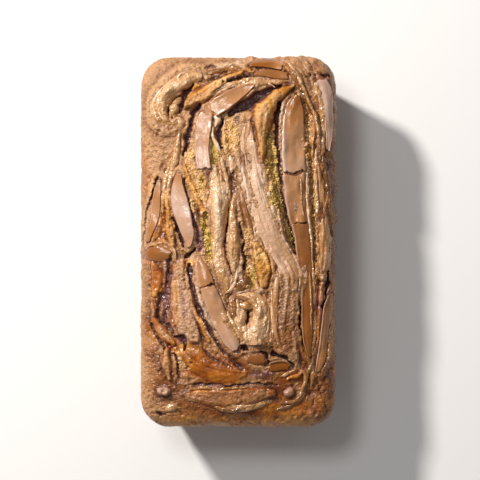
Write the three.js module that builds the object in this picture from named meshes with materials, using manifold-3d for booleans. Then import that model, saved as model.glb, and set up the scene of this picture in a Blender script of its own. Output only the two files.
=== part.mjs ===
// Chocolate hazelnut swirl bread: a pan loaf with thick bands of hazelnut spread baked into its top.
// Millimetres. +X across the loaf, +Y along it, +Z up. The origin is on the underside, below its middle.
import * as THREE from 'three';
import { mergeVertices } from 'three/addons/utils/BufferGeometryUtils.js';
import Module from 'manifold-3d';

const wasm = await Module();
wasm.setup();

// Driving dimensions of the loaf
const LOAF_LENGTH = 214;
const LOAF_WIDTH = 113;
const FOOT_LENGTH = 199;
const FOOT_WIDTH = 98;
const RIM_HEIGHT = 50;
const CORNER_RADIUS = 17;
const FOOT_ROUND = 3;
const SHOULDER_RADIUS = 9;
const CROWN_SWELL = 9;

// The top's slow swells and shorter ripples: millimetres for one radian of their waves, and heights
const SWELL = { across: 9, along: 12, start: 0.7, height: 0.8 };
const RIPPLE = { across: 4.3, along: 5.3, height: 0.4 };

// How far bands and ridges reach down into the bread, and how far what cuts a valley stands above it
const FIT_GAP = 0.35;
const BAND_SINK = 1.5;
const RIDGE_SINK = 2;
const VALLEY_RISE = 9;
// Share of the rise that a band keeps where it is thinnest
const TIP_RISE = 0.35;

// The meshes. Columns crowd towards the long edges, as equal turns of a sine do.
const RING_STEP = 6.5;
const COLUMNS = 16;
const COLUMN_TURN = 1.2;
const STRAIGHT_ROWS = 26;
const CORNER_ROWS = 5;
const WALL_LEVELS = [FOOT_ROUND, 26];
const SAME_POINT = 1e-4;

const CRUST = new THREE.MeshStandardMaterial({ color: 0xb98452, roughness: 0.85, metalness: 0 });
const SATIN = new THREE.MeshStandardMaterial({ color: 0x9a6a48, roughness: 0.35, metalness: 0 });
const GLOSSY = new THREE.MeshStandardMaterial({ color: 0xb08256, roughness: 0.28, metalness: 0 });
const MATTE = new THREE.MeshStandardMaterial({ color: 0xbb9168, roughness: 0.6, metalness: 0 });

// Cross-sections: [place across from -1 to 1, share of the rise] from edge to edge, and half the underside
const SECTIONS = {
  slab: { top: [[-1, 0.7], [-0.78, 1], [0, 0.86], [0.78, 1], [1, 0.7]], under: 0.9 },
  rope: { top: [[-1, 0], [-0.68, 0.72], [0, 1], [0.68, 0.72], [1, 0]], under: 0.7, thinEnds: true },
  smear: {
    top: [[-1, 0], [-0.8, 0.75], [-0.45, 0.6], [-0.1, 1], [0.3, 0.68], [0.7, 0.95], [1, 0]],
    under: 0.75,
    thinEnds: true,
  },
  lip: { top: [[-1, 0], [-0.2, 1], [1, 0]], under: 0.6, thinEnds: true },
  valley: { top: [[-1, 1], [1, 1]], under: 0.35 },
};

// Bands of spread, each a piece of its own. A route point is [x, y, half width]. The first bands lie over
// the later.
const BANDS = [
  { name: 'spread_ribbon_right', section: 'rope', rise: 3.4, finish: GLOSSY, route: [[24.5, 104.6, 1.5],
    [28, 102, 2.5], [32, 97.2, 2.9], [35.7, 91, 2.7], [39.3, 83, 2.4], [43.2, 75, 2.4], [45.8, 66, 2.4],
    [46.8, 56, 2], [46.8, 47, 1.2]] },
  { name: 'spread_smear_main', section: 'smear', rise: 4.2, finish: MATTE, route: [[5, 67, 3.2],
    [4.5, 58, 4.8], [6.2, 46, 6], [8.6, 34, 7.2], [11.8, 22, 7.6], [15.4, 10, 7.6], [20.2, -1, 7.4],
    [26.4, -10, 7.2], [31.2, -19, 6.8], [30.6, -30, 4.6], [28.5, -41, 5.2], [27.5, -51, 4.5], [29, -60, 2.8],
    [31, -66, 1.3]] },
  { name: 'spread_rope_centre', section: 'rope', rise: 5, finish: GLOSSY, route: [[-14, 40, 2.5],
    [-12.3, 30, 4.8], [-11.8, 20, 5.2], [-12.3, 10, 4.6], [-12, 0, 3.9], [-10.7, -10, 3.7], [-9.2, -18, 3.6],
    [-7.8, -25, 3.2], [-7.2, -29, 1.4]] },
  { name: 'spread_rope_inner', section: 'rope', rise: 3.8, finish: GLOSSY, route: [[-1.5, 31, 1.4],
    [-2.4, 22, 2.6], [-3.3, 14, 2.3], [-2.7, 6, 3.2], [-2.6, -3, 3.6], [-2.1, -11, 3.1], [-1.6, -17, 1.8]] },
  { name: 'spread_tongue', section: 'smear', rise: 2.6, finish: MATTE, route: [[2, 26, 1.5], [3.4, 21, 2.6],
    [5.8, 12, 3.2], [8, 4, 2.2]] },
  { name: 'spread_knot', section: 'rope', rise: 4.6, finish: GLOSSY, route: [[-3.5, -31.2, 1.8],
    [3, -30.4, 2.6], [8.6, -33, 3.6], [11, -39.5, 4.4], [10.2, -47, 5], [9.6, -54, 5], [12.6, -59.5, 3]] },
  { name: 'spread_curl', section: 'rope', rise: 3.6, finish: GLOSSY, route: [[0.6, -35, 1.6],
    [1.6, -41, 2.8], [1.4, -47.5, 1.8]] },
  { name: 'spread_strand_inner', section: 'rope', rise: 3, finish: MATTE, route: [[14.8, -30, 1],
    [16.6, -38, 1.5], [17.4, -47, 1.5], [18.2, -55, 0.9]] },
  { name: 'spread_strand_outer', section: 'rope', rise: 3.4, finish: MATTE, route: [[22.6, -17, 1.3],
    [21.4, -28, 2.2], [20.8, -41, 1.9], [21.6, -53, 1.6], [26, -62.5, 0.9]] },
  { name: 'spread_hook', section: 'rope', rise: 4.2, finish: GLOSSY, route: [[-21, 94.5, 2.4],
    [-28, 95.3, 4.6], [-34, 91.3, 5.2], [-40, 86.4, 5.3], [-44.4, 80.6, 5.3], [-45.2, 74.6, 4.9],
    [-42.6, 69.4, 3.8], [-38.6, 67.2, 2.5], [-34.8, 68.8, 1.3]] },
  { name: 'spread_smear_right', section: 'smear', rise: 3.4, finish: MATTE, route: [[46.2, 43, 1],
    [47, 34, 2.2], [48.2, 22, 3], [49, 10, 3.8], [49.6, -2, 4.4], [49.6, -12, 4], [48.8, -18, 1.8]] },
  { name: 'chocolate_slab_upper', section: 'slab', rise: 2.8, finish: SATIN, route: [[-15, 76, 4.6],
    [-10, 79, 4.9], [-3.5, 83.3, 4.2], [3, 87.3, 2.8], [8.5, 90.3, 1]] },
  { name: 'chocolate_slab_upper_left', section: 'slab', rise: 2.6, finish: SATIN, route: [[-18.2, 74, 3.2],
    [-19.6, 69, 4.2], [-20.8, 61, 4.4], [-21, 53, 4.1], [-20.4, 47, 3.9], [-19.6, 41.8, 3.9]] },
  { name: 'chocolate_slab_left', section: 'slab', rise: 3, finish: SATIN, route: [[-34, 39, 1.5],
    [-35, 33, 3], [-34.4, 26, 4.4], [-32.6, 18, 4.9], [-30.5, 10, 4.2], [-28.6, 3, 3.2], [-28.6, -3.5, 1]] },
  { name: 'chocolate_slab_lower_left_a', section: 'slab', rise: 3, finish: SATIN, route: [[-22.5, -9.5, 1.6],
    [-21.5, -14, 3.7], [-20, -19.5, 4.5], [-18.3, -24.4, 4.4]] },
  { name: 'chocolate_slab_lower_left_b', section: 'slab', rise: 3.2, finish: SATIN, route: [
    [-17.6, -26.4, 4.3], [-15, -34, 4.9], [-11.5, -42, 5.1], [-7.6, -50, 4.8], [-4, -57, 4.2],
    [-1.2, -61.5, 2.4]] },
  { name: 'chocolate_slab_right_a', section: 'slab', rise: 2.8, finish: SATIN, route: [[33.5, 83.6, 2],
    [32.3, 78, 4.9], [31.7, 68, 6.2], [31.7, 56, 6.5], [32, 47, 6.6], [32.4, 41, 6.6]] },
  { name: 'chocolate_slab_right_b', section: 'slab', rise: 2.6, finish: SATIN, route: [[31.8, 38, 6.1],
    [32.4, 28, 6], [33.6, 18, 5.6], [34.9, 12, 5.1]] },
  { name: 'chocolate_slab_right_c', section: 'slab', rise: 2.6, finish: SATIN, route: [[35.7, 10.4, 4.8],
    [36.9, 0, 4.3], [38.1, -12, 4], [38.8, -24, 3.7], [39.5, -36, 3.5], [39.6, -48, 3.3], [39.8, -58, 2.4],
    [41, -66, 0.9]] },
  { name: 'chocolate_slab_corner', section: 'slab', rise: 2.4, finish: SATIN, route: [[47.3, 93, 3.4],
    [50, 86, 3.9], [51.4, 77, 3], [52.2, 68, 2.4], [52.2, 60, 1.8], [51.6, 53, 0.9]] },
  { name: 'chocolate_slab_top', section: 'slab', rise: 2.2, finish: SATIN, route: [[6, 101.6, 0.9],
    [11, 102.8, 1.9], [18, 102.8, 2.5], [25, 101.4, 2.4]] },
  { name: 'chocolate_slab_top_inner', section: 'slab', rise: 2, finish: SATIN, route: [[9.5, 96.6, 0.9],
    [15, 97, 2], [22, 96.4, 2.5], [28, 95.4, 2]] },
  { name: 'chocolate_slab_right_low', section: 'slab', rise: 2.4, finish: SATIN, route: [[53.2, -30, 1.2],
    [51.4, -38, 2.3], [50, -48, 2.1], [49, -58, 2], [47.6, -67, 2.3], [45.6, -74, 1.4]] },
  { name: 'chocolate_slab_far_left', section: 'slab', rise: 2, finish: SATIN, route: [[-45.5, 36, 1],
    [-46.8, 28, 2], [-47.5, 20, 2.4], [-48.6, 12, 2.1], [-50.8, 6, 1.7], [-52.4, 0, 1]] },
  { name: 'spread_patch_left', section: 'rope', rise: 2, finish: GLOSSY, route: [[-52.4, -7, 1.8],
    [-48, -7, 4.4], [-43, -6.4, 4.1], [-39.5, -6.4, 1.5]] },
  { name: 'chocolate_chip_lower', section: 'slab', rise: 2.4, finish: SATIN, route: [[5.6, -65.6, 1.2],
    [10, -67.2, 3.2], [15.4, -67.6, 2.2]] },
  { name: 'chocolate_slab_low', section: 'slab', rise: 2.2, finish: SATIN, route: [[18, -71.6, 1.4],
    [21.6, -71, 2.8], [26.5, -70.6, 2.6], [29.4, -71.8, 1.3]] },
  { name: 'spread_fold_bottom', section: 'rope', rise: 2.2, finish: GLOSSY, route: [[-31, -90, 1],
    [-22, -91, 1.9], [-12, -93.4, 1.6], [-2, -95.6, 1.8], [7, -94.5, 1.5], [16, -92, 1.2], [24, -91, 0.9]] },
];

// Ridges of bread, fused to the loaf
const RIDGES = [
  { section: 'rope', rise: 3.8, route: [[31.5, 90, 0.8], [27, 87, 2.4], [21, 82, 3.6], [15.5, 76, 5],
    [13, 69, 4.9], [13.4, 61, 3.4], [13.8, 53, 2.2], [13.6, 45, 0.8]] },
  { section: 'rope', rise: 3.4, route: [[-33, 77, 1], [-27, 81, 4], [-20, 85, 4.4], [-13, 90, 3.4],
    [-6, 94.3, 2.2], [2, 97.2, 1.4]] },
  { section: 'rope', rise: 3, route: [[-33, -11.5, 2.3], [-33, -20, 3.8], [-32.5, -30, 4.6],
    [-32, -40, 5.4], [-30, -48, 5.4], [-25, -55, 3]] },
  { section: 'rope', rise: 2.8, route: [[10.4, -1.6, 1.8], [12.6, -8, 4.2], [14.4, -16, 4.4],
    [15, -24.6, 2.6]] },
  { section: 'rope', rise: 2.4, route: [[-41.5, 28, 1.2], [-40.8, 18, 1.8], [-39.6, 8, 3], [-38, -1, 1.8]] },
  { section: 'rope', rise: 1.8, route: [[-50, -36, 1.2], [-48, -45, 2.6], [-43, -53, 3], [-37, -58, 1.6]] },
  { section: 'rope', rise: 1.8, route: [[-41, -62, 1.4], [-41, -69, 3.2], [-40, -78, 1.6]] },
  { section: 'rope', rise: 3, route: [[-46.5, -85.5, 1.2], [-43, -85.5, 3.2], [-39.5, -85.5, 1.2]] },
  { section: 'rope', rise: 3, route: [[26, -86.5, 1.2], [29.5, -86.5, 3], [33, -86.5, 1.2]] },
  { section: 'lip', rise: 2.2, route: [[-35, 62, 1.2], [-37, 48, 1.9], [-39.6, 36, 1.6], [-42.6, 22, 1.1]] },
  { section: 'lip', rise: 2, route: [[-31.4, 44, 0.8], [-29, 32, 1.2], [-24.6, 20, 1.2],
    [-19.6, 15.6, 0.8]] },
  { section: 'lip', rise: 2, route: [[39, 78, 1.2], [40.2, 64, 1.7], [41.4, 48, 1.7], [42.6, 28, 1.5],
    [43.6, 8, 1.3], [44, -8, 1]] },
  { section: 'lip', rise: 2.2, route: [[44.8, 90, 1.2], [47, 81, 1.6], [48.6, 66, 1.5], [48.4, 50, 1]] },
  { section: 'lip', rise: 2.2, route: [[48.4, -23, 1.2], [47.6, -34, 1.5], [46, -48, 1.4], [45, -60, 1]] },
  { section: 'lip', rise: 2.2, route: [[35, -52, 1], [37.4, -60, 1.3], [41.8, -69.5, 1.4], [43, -77, 1.2],
    [41.6, -86, 0.9]] },
  { section: 'lip', rise: 1.8, route: [[-29, -83.4, 0.9], [-15, -84.2, 1.3], [3, -82.6, 1.3],
    [20, -80, 0.9]] },
  { section: 'lip', rise: 1.8, route: [[-30, -97, 1], [-10, -99, 1.8], [10, -98.4, 1.8], [27, -95.5, 1.6],
    [36.6, -89, 1.3], [39.2, -79, 1]] },
];

// Valleys where the bands have torn away from the bread and its crumb shows
const VALLEYS = [
  { depth: 6, route: [[-5, 74, 1.8], [2, 77.4, 3.4], [8, 81.5, 4], [16, 86.6, 2.6], [24, 90, 1.6]] },
  { depth: 5, route: [[18, 62, 1.4], [18.4, 54, 3.2], [20.6, 44, 3.6], [22, 34, 3.2], [24, 22, 2.8],
    [27, 11, 3.2], [30.4, 1, 3], [33.4, -7, 1.2]] },
  { depth: 6, route: [[23.8, 79, 1], [22, 70, 1.6], [22.6, 58, 1.5], [23.4, 46, 1.4]] },
  { depth: 5, route: [[-22, 78, 1.4], [-26, 73, 2.2], [-27.6, 65, 1.7], [-29.6, 57, 1.5], [-32, 50, 1.2]] },
  { depth: 5, route: [[-15.2, 60, 1.2], [-14.6, 53, 2.1], [-13.6, 46, 2.2]] },
  { depth: 6, route: [[-8.5, 69.5, 1.6], [-11.5, 63, 1.6], [-10.6, 55, 1]] },
  { depth: 5, route: [[-29, 27, 0.8], [-25.6, 16, 1.4], [-22.6, 6, 2.8], [-19.6, -4, 3], [-16, -12, 1.2]] },
  { depth: 5, route: [[-28, -13, 1.3], [-27, -23, 1.5], [-23.6, -35, 1.5], [-19, -46, 1.4], [-12, -58, 1.4],
    [-4, -67, 1], [2, -73, 0.8]] },
  { depth: 5, route: [[-39.6, -13, 1.2], [-41, -24, 2.2], [-41, -36, 1.8], [-42, -44, 1.5],
    [-37.4, -53, 0.9]] },
  { depth: 6, route: [[5, -9, 1.2], [7, -16, 2.4], [8, -25, 2.2]] },
  { depth: 6, route: [[51.2, -18.6, 0.6], [51.2, -25, 1], [50, -32, 0.7]] },
  { depth: 5, route: [[20.6, -65, 0.8], [25, -66.2, 1.1], [28.6, -67.4, 1]] },
];

// Distance inside the rim's outline, which is a rectangle with round corners
function edgeDistance(x, y) {
  const acrossCorner = Math.abs(x) - (LOAF_WIDTH / 2 - CORNER_RADIUS);
  const alongCorner = Math.abs(y) - (LOAF_LENGTH / 2 - CORNER_RADIUS);
  const beyond = Math.hypot(Math.max(acrossCorner, 0), Math.max(alongCorner, 0));
  return CORNER_RADIUS - beyond - Math.min(Math.max(acrossCorner, alongCorner), 0);
}

// Height of the bread's top: a round shoulder, a low dome and the slow swell of an uneven batter
function crownHeight(x, y) {
  const shoulder = THREE.MathUtils.clamp(edgeDistance(x, y) / SHOULDER_RADIUS, 0, 1);
  const dome = (1 - (2 * x / LOAF_WIDTH) ** 2) * (1 - (2 * y / LOAF_LENGTH) ** 4);
  const swell = SWELL.height * Math.sin(x / SWELL.across + SWELL.start) * Math.cos(y / SWELL.along);
  const ripple = RIPPLE.height * Math.sin(x / RIPPLE.across + y / RIPPLE.along);
  return RIM_HEIGHT + SHOULDER_RADIUS * Math.sqrt(1 - (1 - shoulder) ** 2)
    + CROWN_SWELL * Math.max(dome, 0) + (swell + ripple) * shoulder;
}

// Half width of the rim's outline at y
function rowHalfWidth(y) {
  const intoCorner = Math.max(Math.abs(y) - (LOAF_LENGTH / 2 - CORNER_RADIUS), 0);
  return LOAF_WIDTH / 2 - CORNER_RADIUS + Math.sqrt(Math.max(CORNER_RADIUS ** 2 - intoCorner ** 2, 0));
}

// Row places along Y: even on the straight sides, by equal angles round the corners
function rowPlaces() {
  const straight = LOAF_LENGTH / 2 - CORNER_RADIUS;
  const corner = Array.from({ length: CORNER_ROWS }, (_, i) =>
    straight + CORNER_RADIUS * Math.sin(((i + 1) / CORNER_ROWS) * Math.PI / 2));
  const middle = Array.from({ length: STRAIGHT_ROWS + 1 }, (_, i) => straight * (2 * i / STRAIGHT_ROWS - 1));
  return [...corner.map((y) => -y).reverse(), ...middle, ...corner];
}

// A closed mesh of position triples and triangles, as a solid
function solidFrom(points, faces) {
  const geometry = new THREE.BufferGeometry();
  geometry.setAttribute('position', new THREE.Float32BufferAttribute(points.flat(), 3));
  geometry.setIndex(faces.flat());
  const merged = mergeVertices(geometry, SAME_POINT);
  return new wasm.Manifold(new wasm.Mesh({
    numProp: 3,
    vertProperties: merged.attributes.position.array,
    triVerts: new Uint32Array(merged.index.array),
  }));
}

// The loaf before its relief: a grid over the top, tapered walls under its edge and a flat underside
function loafBlank() {
  const rows = rowPlaces();
  const points = [];
  const faces = [];
  const stride = COLUMNS + 1;
  for (const y of rows) {
    for (let i = 0; i <= COLUMNS; i++) {
      const turn = (2 * i / COLUMNS - 1) * COLUMN_TURN;
      const x = rowHalfWidth(y) * Math.sin(turn) / Math.sin(COLUMN_TURN);
      points.push([x, y, crownHeight(x, y)]);
    }
  }
  for (let j = 0; j + 1 < rows.length; j++) {
    for (let i = 0; i < COLUMNS; i++) {
      const a = j * stride + i;
      faces.push([a, a + 1, a + stride + 1], [a, a + stride + 1, a + stride]);
    }
  }
  const last = (rows.length - 1) * stride;
  const rim = [
    ...Array.from({ length: COLUMNS }, (_, i) => i),
    ...Array.from({ length: rows.length - 1 }, (_, j) => j * stride + COLUMNS),
    ...Array.from({ length: COLUMNS }, (_, i) => last + COLUMNS - i),
    ...Array.from({ length: rows.length - 1 }, (_, j) => last - j * stride),
  ];
  let upper = rim;
  for (const level of [...WALL_LEVELS].reverse().concat(0)) {
    const lower = rim.map((p) => points.push(wallPoint(points[p], level)) - 1);
    lower.forEach((p, k) => {
      const next = (k + 1) % lower.length;
      faces.push([upper[k], p, lower[next]], [upper[k], lower[next], upper[next]]);
    });
    upper = lower;
  }
  const middle = points.push([0, 0, 0]) - 1;
  upper.forEach((p, k) => faces.push([middle, upper[(k + 1) % upper.length], p]));
  return solidFrom(points, faces);
}

// The point of the wall below a rim point: the pan's taper and, at the bottom, a bevelled foot
function wallPoint([x, y], level) {
  const share = level / RIM_HEIGHT;
  const foot = level === 0 ? FOOT_ROUND : 0;
  const halfWidth = THREE.MathUtils.lerp(FOOT_WIDTH, LOAF_WIDTH, share) / 2 - foot;
  const halfLength = THREE.MathUtils.lerp(FOOT_LENGTH, LOAF_LENGTH, share) / 2 - foot;
  return [x * halfWidth / (LOAF_WIDTH / 2), y * halfLength / (LOAF_LENGTH / 2), level];
}

// A closed solid that follows a route over the crown. grow widens it all round by that much.
function sweep({ route, section, rise = VALLEY_RISE, sink }, grow = 0) {
  const smooth = (points) => new THREE.CatmullRomCurve3(points, false, 'centripetal');
  const curve = smooth(route.map((p) => new THREE.Vector3(...p)));
  const flat = smooth(route.map(([x, y]) => new THREE.Vector3(x, y, 0)));
  const steps = Math.max(3, Math.round(flat.getLength() / RING_STEP));
  const widest = Math.max(...route.map((p) => p[2]));
  const { top, under, thinEnds } = SECTIONS[section];
  const points = [];
  const faces = [];
  const size = top.length + 2;
  for (let i = 0; i <= steps; i++) {
    const place = curve.getPoint(i / steps);
    const along = flat.getTangent(i / steps);
    const reach = grow * (Number(i === steps) - Number(i === 0));
    const half = place.z + grow;
    const lift = thinEnds ? THREE.MathUtils.lerp(TIP_RISE, 1, place.z / widest) : 1;
    const at = (across, height) => {
      const x = place.x + along.x * reach + along.y * across * half;
      const y = place.y + along.y * reach - along.x * across * half;
      return [x, y, crownHeight(x, y) + height];
    };
    for (const [across, share] of top) points.push(at(across, rise * lift * share + grow));
    points.push(at(under, -sink - grow), at(-under, -sink - grow));
    if (i > 0) {
      for (let k = 0; k < size; k++) {
        const a = (i - 1) * size + k;
        const b = (i - 1) * size + (k + 1) % size;
        faces.push([a, b, b + size], [a, b + size, a + size]);
      }
    }
  }
  for (const [start, turn] of [[0, 1], [steps * size, -1]]) {
    const ring = points.slice(start, start + size);
    const middle = points.push([0, 1, 2].map((axis) =>
      ring.reduce((sum, p) => sum + p[axis], 0) / size)) - 1;
    for (let k = 0; k < size; k++) {
      const ends = [start + k, start + (k + 1) % size];
      faces.push(turn > 0 ? [middle, ends[1], ends[0]] : [middle, ends[0], ends[1]]);
    }
  }
  return solidFrom(points, faces);
}

// The largest body of a solid, without the scraps a cut leaves
function largest(solid) {
  return solid.decompose().reduce((best, body) => (body.volume() > best.volume() ? body : best));
}

function meshOf(name, solid, material) {
  const { vertProperties, triVerts } = solid.getMesh();
  const geometry = new THREE.BufferGeometry();
  geometry.setAttribute('position', new THREE.BufferAttribute(vertProperties, 3));
  geometry.setIndex(new THREE.BufferAttribute(triVerts, 1));
  geometry.computeVertexNormals();
  const mesh = new THREE.Mesh(geometry, material);
  mesh.name = name;
  return mesh;
}

const bread = new THREE.Group();
let loaf = loafBlank();
for (const ridge of RIDGES) loaf = loaf.add(sweep({ ...ridge, sink: RIDGE_SINK }));
for (const { depth, route } of VALLEYS) {
  loaf = loaf.subtract(sweep({ route, section: 'valley', sink: depth }));
}

const placed = [];
for (const band of BANDS) {
  const form = { ...band, sink: BAND_SINK };
  let solid = sweep(form);
  for (const over of placed) solid = solid.subtract(over);
  bread.add(meshOf(band.name, largest(solid), band.finish));
  const clearance = sweep(form, FIT_GAP);
  placed.push(clearance);
  loaf = loaf.subtract(clearance);
}
bread.add(meshOf('loaf', largest(loaf), CRUST));

export default bread;
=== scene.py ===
# Chocolate hazelnut swirl bread: a pan loaf with thick bands of chocolate hazelnut spread baked into its top.
import math

import bpy
import numpy as np
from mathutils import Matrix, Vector


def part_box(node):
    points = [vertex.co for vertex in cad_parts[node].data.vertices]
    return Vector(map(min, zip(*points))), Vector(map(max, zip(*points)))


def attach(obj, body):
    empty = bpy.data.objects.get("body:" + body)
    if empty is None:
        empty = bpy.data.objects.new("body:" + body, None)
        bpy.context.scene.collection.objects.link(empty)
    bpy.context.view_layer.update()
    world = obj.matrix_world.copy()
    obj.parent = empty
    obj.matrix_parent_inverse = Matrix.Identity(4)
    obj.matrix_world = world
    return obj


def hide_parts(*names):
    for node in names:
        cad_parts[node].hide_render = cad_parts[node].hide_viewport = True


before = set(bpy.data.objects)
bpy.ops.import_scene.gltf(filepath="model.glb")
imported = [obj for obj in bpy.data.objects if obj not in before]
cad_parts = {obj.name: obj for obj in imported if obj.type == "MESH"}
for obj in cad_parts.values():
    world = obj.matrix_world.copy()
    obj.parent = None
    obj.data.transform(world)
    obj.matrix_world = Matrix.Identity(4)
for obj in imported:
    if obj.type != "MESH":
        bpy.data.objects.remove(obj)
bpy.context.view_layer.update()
mm = 0.001  # sizes and routes below are in millimetres, the scene itself is in metres
print("frame loaded:", len(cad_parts), "nodes")

# The photograph is square and looks straight down on the loaf
photo = {
    "side": 480,  # pixels
    "loafCentre": (238.5, 242.0),  # the pixel in the middle of the loaf's outline
    "loafLength": 369.0,  # pixels
    "cameraHeight": 1.45,  # metres above the rim
}

loafLow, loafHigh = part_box("loaf")
loaf = {
    "width": (loafHigh.x - loafLow.x) / mm,
    "length": (loafHigh.y - loafLow.y) / mm,
    "footWidth": 98.0,
    "footLength": 199.0,
    "footRound": 3.0,
    "rim": 50.0,
    "corner": 17.0,
    "shoulder": 9.0,
    "crownSwell": 9.0,
    "swell": {"across": 9.0, "along": 12.0, "start": 0.7, "height": 0.8},
    "ripple": {"across": 4.3, "along": 5.3, "height": 0.4},
    "columns": 206,
    "columnTurn": 1.0,
    "straightRows": 320,
    "cornerRows": 25,
    "wallLevels": 19,
    "roughness": 0.44,  # height of the crust's own grain
    "strandHeight": 0.9,  # height of the streaks that the batter dragged out along the swirl
    "creaseDepth": 1.7,  # the sharp folds between those streaks
    "grit": 1.1,
    "crags": 1.5,  # height of the broken crust at the rim
    "pores": 700,
    "seed": 11,
}


# Noise

def cellHash(cell, seed):
    total = np.full(len(cell), seed * 3266489917, np.int64)
    for axis in range(cell.shape[1]):
        total = total + cell[:, axis] * (374761393, 668265263, 2246822519)[axis]
    total = total & 0xFFFFFFFF
    total = ((total ^ (total >> 15)) * 2246822519) & 0xFFFFFFFF
    total = ((total ^ (total >> 13)) * 3266489917) & 0xFFFFFFFF
    return ((total ^ (total >> 16)) & 0xFFFFFF) / 0xFFFFFF


def valueNoise(points, seed):
    # One cell to the unit, in two or three dimensions; the result runs from -1 to 1
    cell = np.floor(points).astype(np.int64)
    part = points - cell
    part = part ** 3 * (part * (part * 6 - 15) + 10)
    total = np.zeros(len(points))
    for corner in range(2 ** points.shape[1]):
        step = (corner >> np.arange(points.shape[1])) & 1
        total += np.prod(np.where(step == 1, part, 1 - part), axis=1) * cellHash(cell + step, seed)
    return total * 2 - 1


def fractal(points, size, octaves=3, seed=0):
    # Each octave is turned against the last, so that no grid shows
    total = np.zeros(len(points))
    turned = points / size
    turn = np.eye(points.shape[1])
    turn[:2, :2] = [[0.8, 0.6], [-0.6, 0.8]]
    for octave in range(octaves):
        turned = turned @ turn
        total += 0.5 ** octave * valueNoise(turned * 2 ** octave + 17.3 * octave, seed + octave)
    return total / (2 - 0.5 ** (octaves - 1))


def smooth(low, high, value):
    share = np.clip((value - low) / (high - low), 0, 1)
    return share * share * (3 - 2 * share)


# Routes

def traceRoute(route, step):
    # A smooth line through the route's points [x, y, half width], with a point every step millimetres
    points = np.array(route, float)
    ends = np.vstack([2 * points[0] - points[1], points, 2 * points[-1] - points[-2]])
    knots = np.concatenate([[0], np.cumsum(np.sqrt(np.linalg.norm(np.diff(ends[:, :2], axis=0), axis=1)))])
    fine = []
    for i in range(1, len(ends) - 2):
        t0, t1, t2, t3 = knots[i - 1:i + 3]
        t = np.linspace(t1, t2, 24, endpoint=False)[:, None]
        a1 = (t1 - t) / (t1 - t0) * ends[i - 1] + (t - t0) / (t1 - t0) * ends[i]
        a2 = (t2 - t) / (t2 - t1) * ends[i] + (t - t1) / (t2 - t1) * ends[i + 1]
        a3 = (t3 - t) / (t3 - t2) * ends[i + 1] + (t - t2) / (t3 - t2) * ends[i + 2]
        b1 = (t2 - t) / (t2 - t0) * a1 + (t - t0) / (t2 - t0) * a2
        b2 = (t3 - t) / (t3 - t1) * a2 + (t - t1) / (t3 - t1) * a3
        fine.append((t2 - t) / (t2 - t1) * b1 + (t - t1) / (t2 - t1) * b2)
    fine = np.vstack(fine + [points[-1:]])
    run = np.concatenate([[0], np.cumsum(np.linalg.norm(np.diff(fine[:, :2], axis=0), axis=1))])
    places = np.linspace(0, run[-1], max(int(round(run[-1] / step)), 4) + 1)
    line = np.stack([np.interp(places, run, fine[:, k]) for k in range(3)], axis=1)
    line[:, 2] = np.maximum(line[:, 2], 0.3)
    return line, places


def nearRoute(x, y, route, margin):
    # For the points near a route: which they are, how far across it (1 is its edge), its half width there and
    # their share of the way along it
    line, _ = traceRoute(route, 1.0)
    reach = line[:, 2].max() * 1.3 + margin
    low, high = line[:, :2].min(0) - reach, line[:, :2].max(0) + reach
    near = np.flatnonzero((x > low[0]) & (x < high[0]) & (y > low[1]) & (y < high[1]))
    gap = np.hypot(x[near, None] - line[None, :, 0], y[near, None] - line[None, :, 1])
    nearest = (gap / line[None, :, 2]).argmin(1)
    half = line[nearest, 2]
    return near, gap[np.arange(len(near)), nearest] / half, half, nearest / (len(line) - 1)


def spread(values, share):
    # A list of values spread evenly over a route, read at a share of the way along it
    return np.interp(share, np.linspace(0, 1, len(values)), values)


# The bread's own surface, as its solid has it

def edgeDistance(x, y):
    acrossCorner = np.abs(x) - (loaf["width"] / 2 - loaf["corner"])
    alongCorner = np.abs(y) - (loaf["length"] / 2 - loaf["corner"])
    beyond = np.hypot(np.maximum(acrossCorner, 0), np.maximum(alongCorner, 0))
    return loaf["corner"] - beyond - np.minimum(np.maximum(acrossCorner, alongCorner), 0)


def crownHeight(x, y):
    shoulder = np.clip(edgeDistance(x, y) / loaf["shoulder"], 0, 1)
    dome = (1 - (2 * x / loaf["width"]) ** 2) * (1 - (2 * y / loaf["length"]) ** 4)
    swell, ripple = loaf["swell"], loaf["ripple"]
    waves = swell["height"] * np.sin(x / swell["across"] + swell["start"]) * np.cos(y / swell["along"])
    waves = waves + ripple["height"] * np.sin(x / ripple["across"] + y / ripple["along"])
    rounding = loaf["shoulder"] * np.sqrt(1 - (1 - shoulder) ** 2)
    return loaf["rim"] + rounding + loaf["crownSwell"] * np.maximum(dome, 0) + waves * shoulder


def rowHalfWidth(y):
    intoCorner = np.maximum(np.abs(y) - (loaf["length"] / 2 - loaf["corner"]), 0)
    return loaf["width"] / 2 - loaf["corner"] + np.sqrt(np.maximum(loaf["corner"] ** 2 - intoCorner ** 2, 0))
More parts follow.
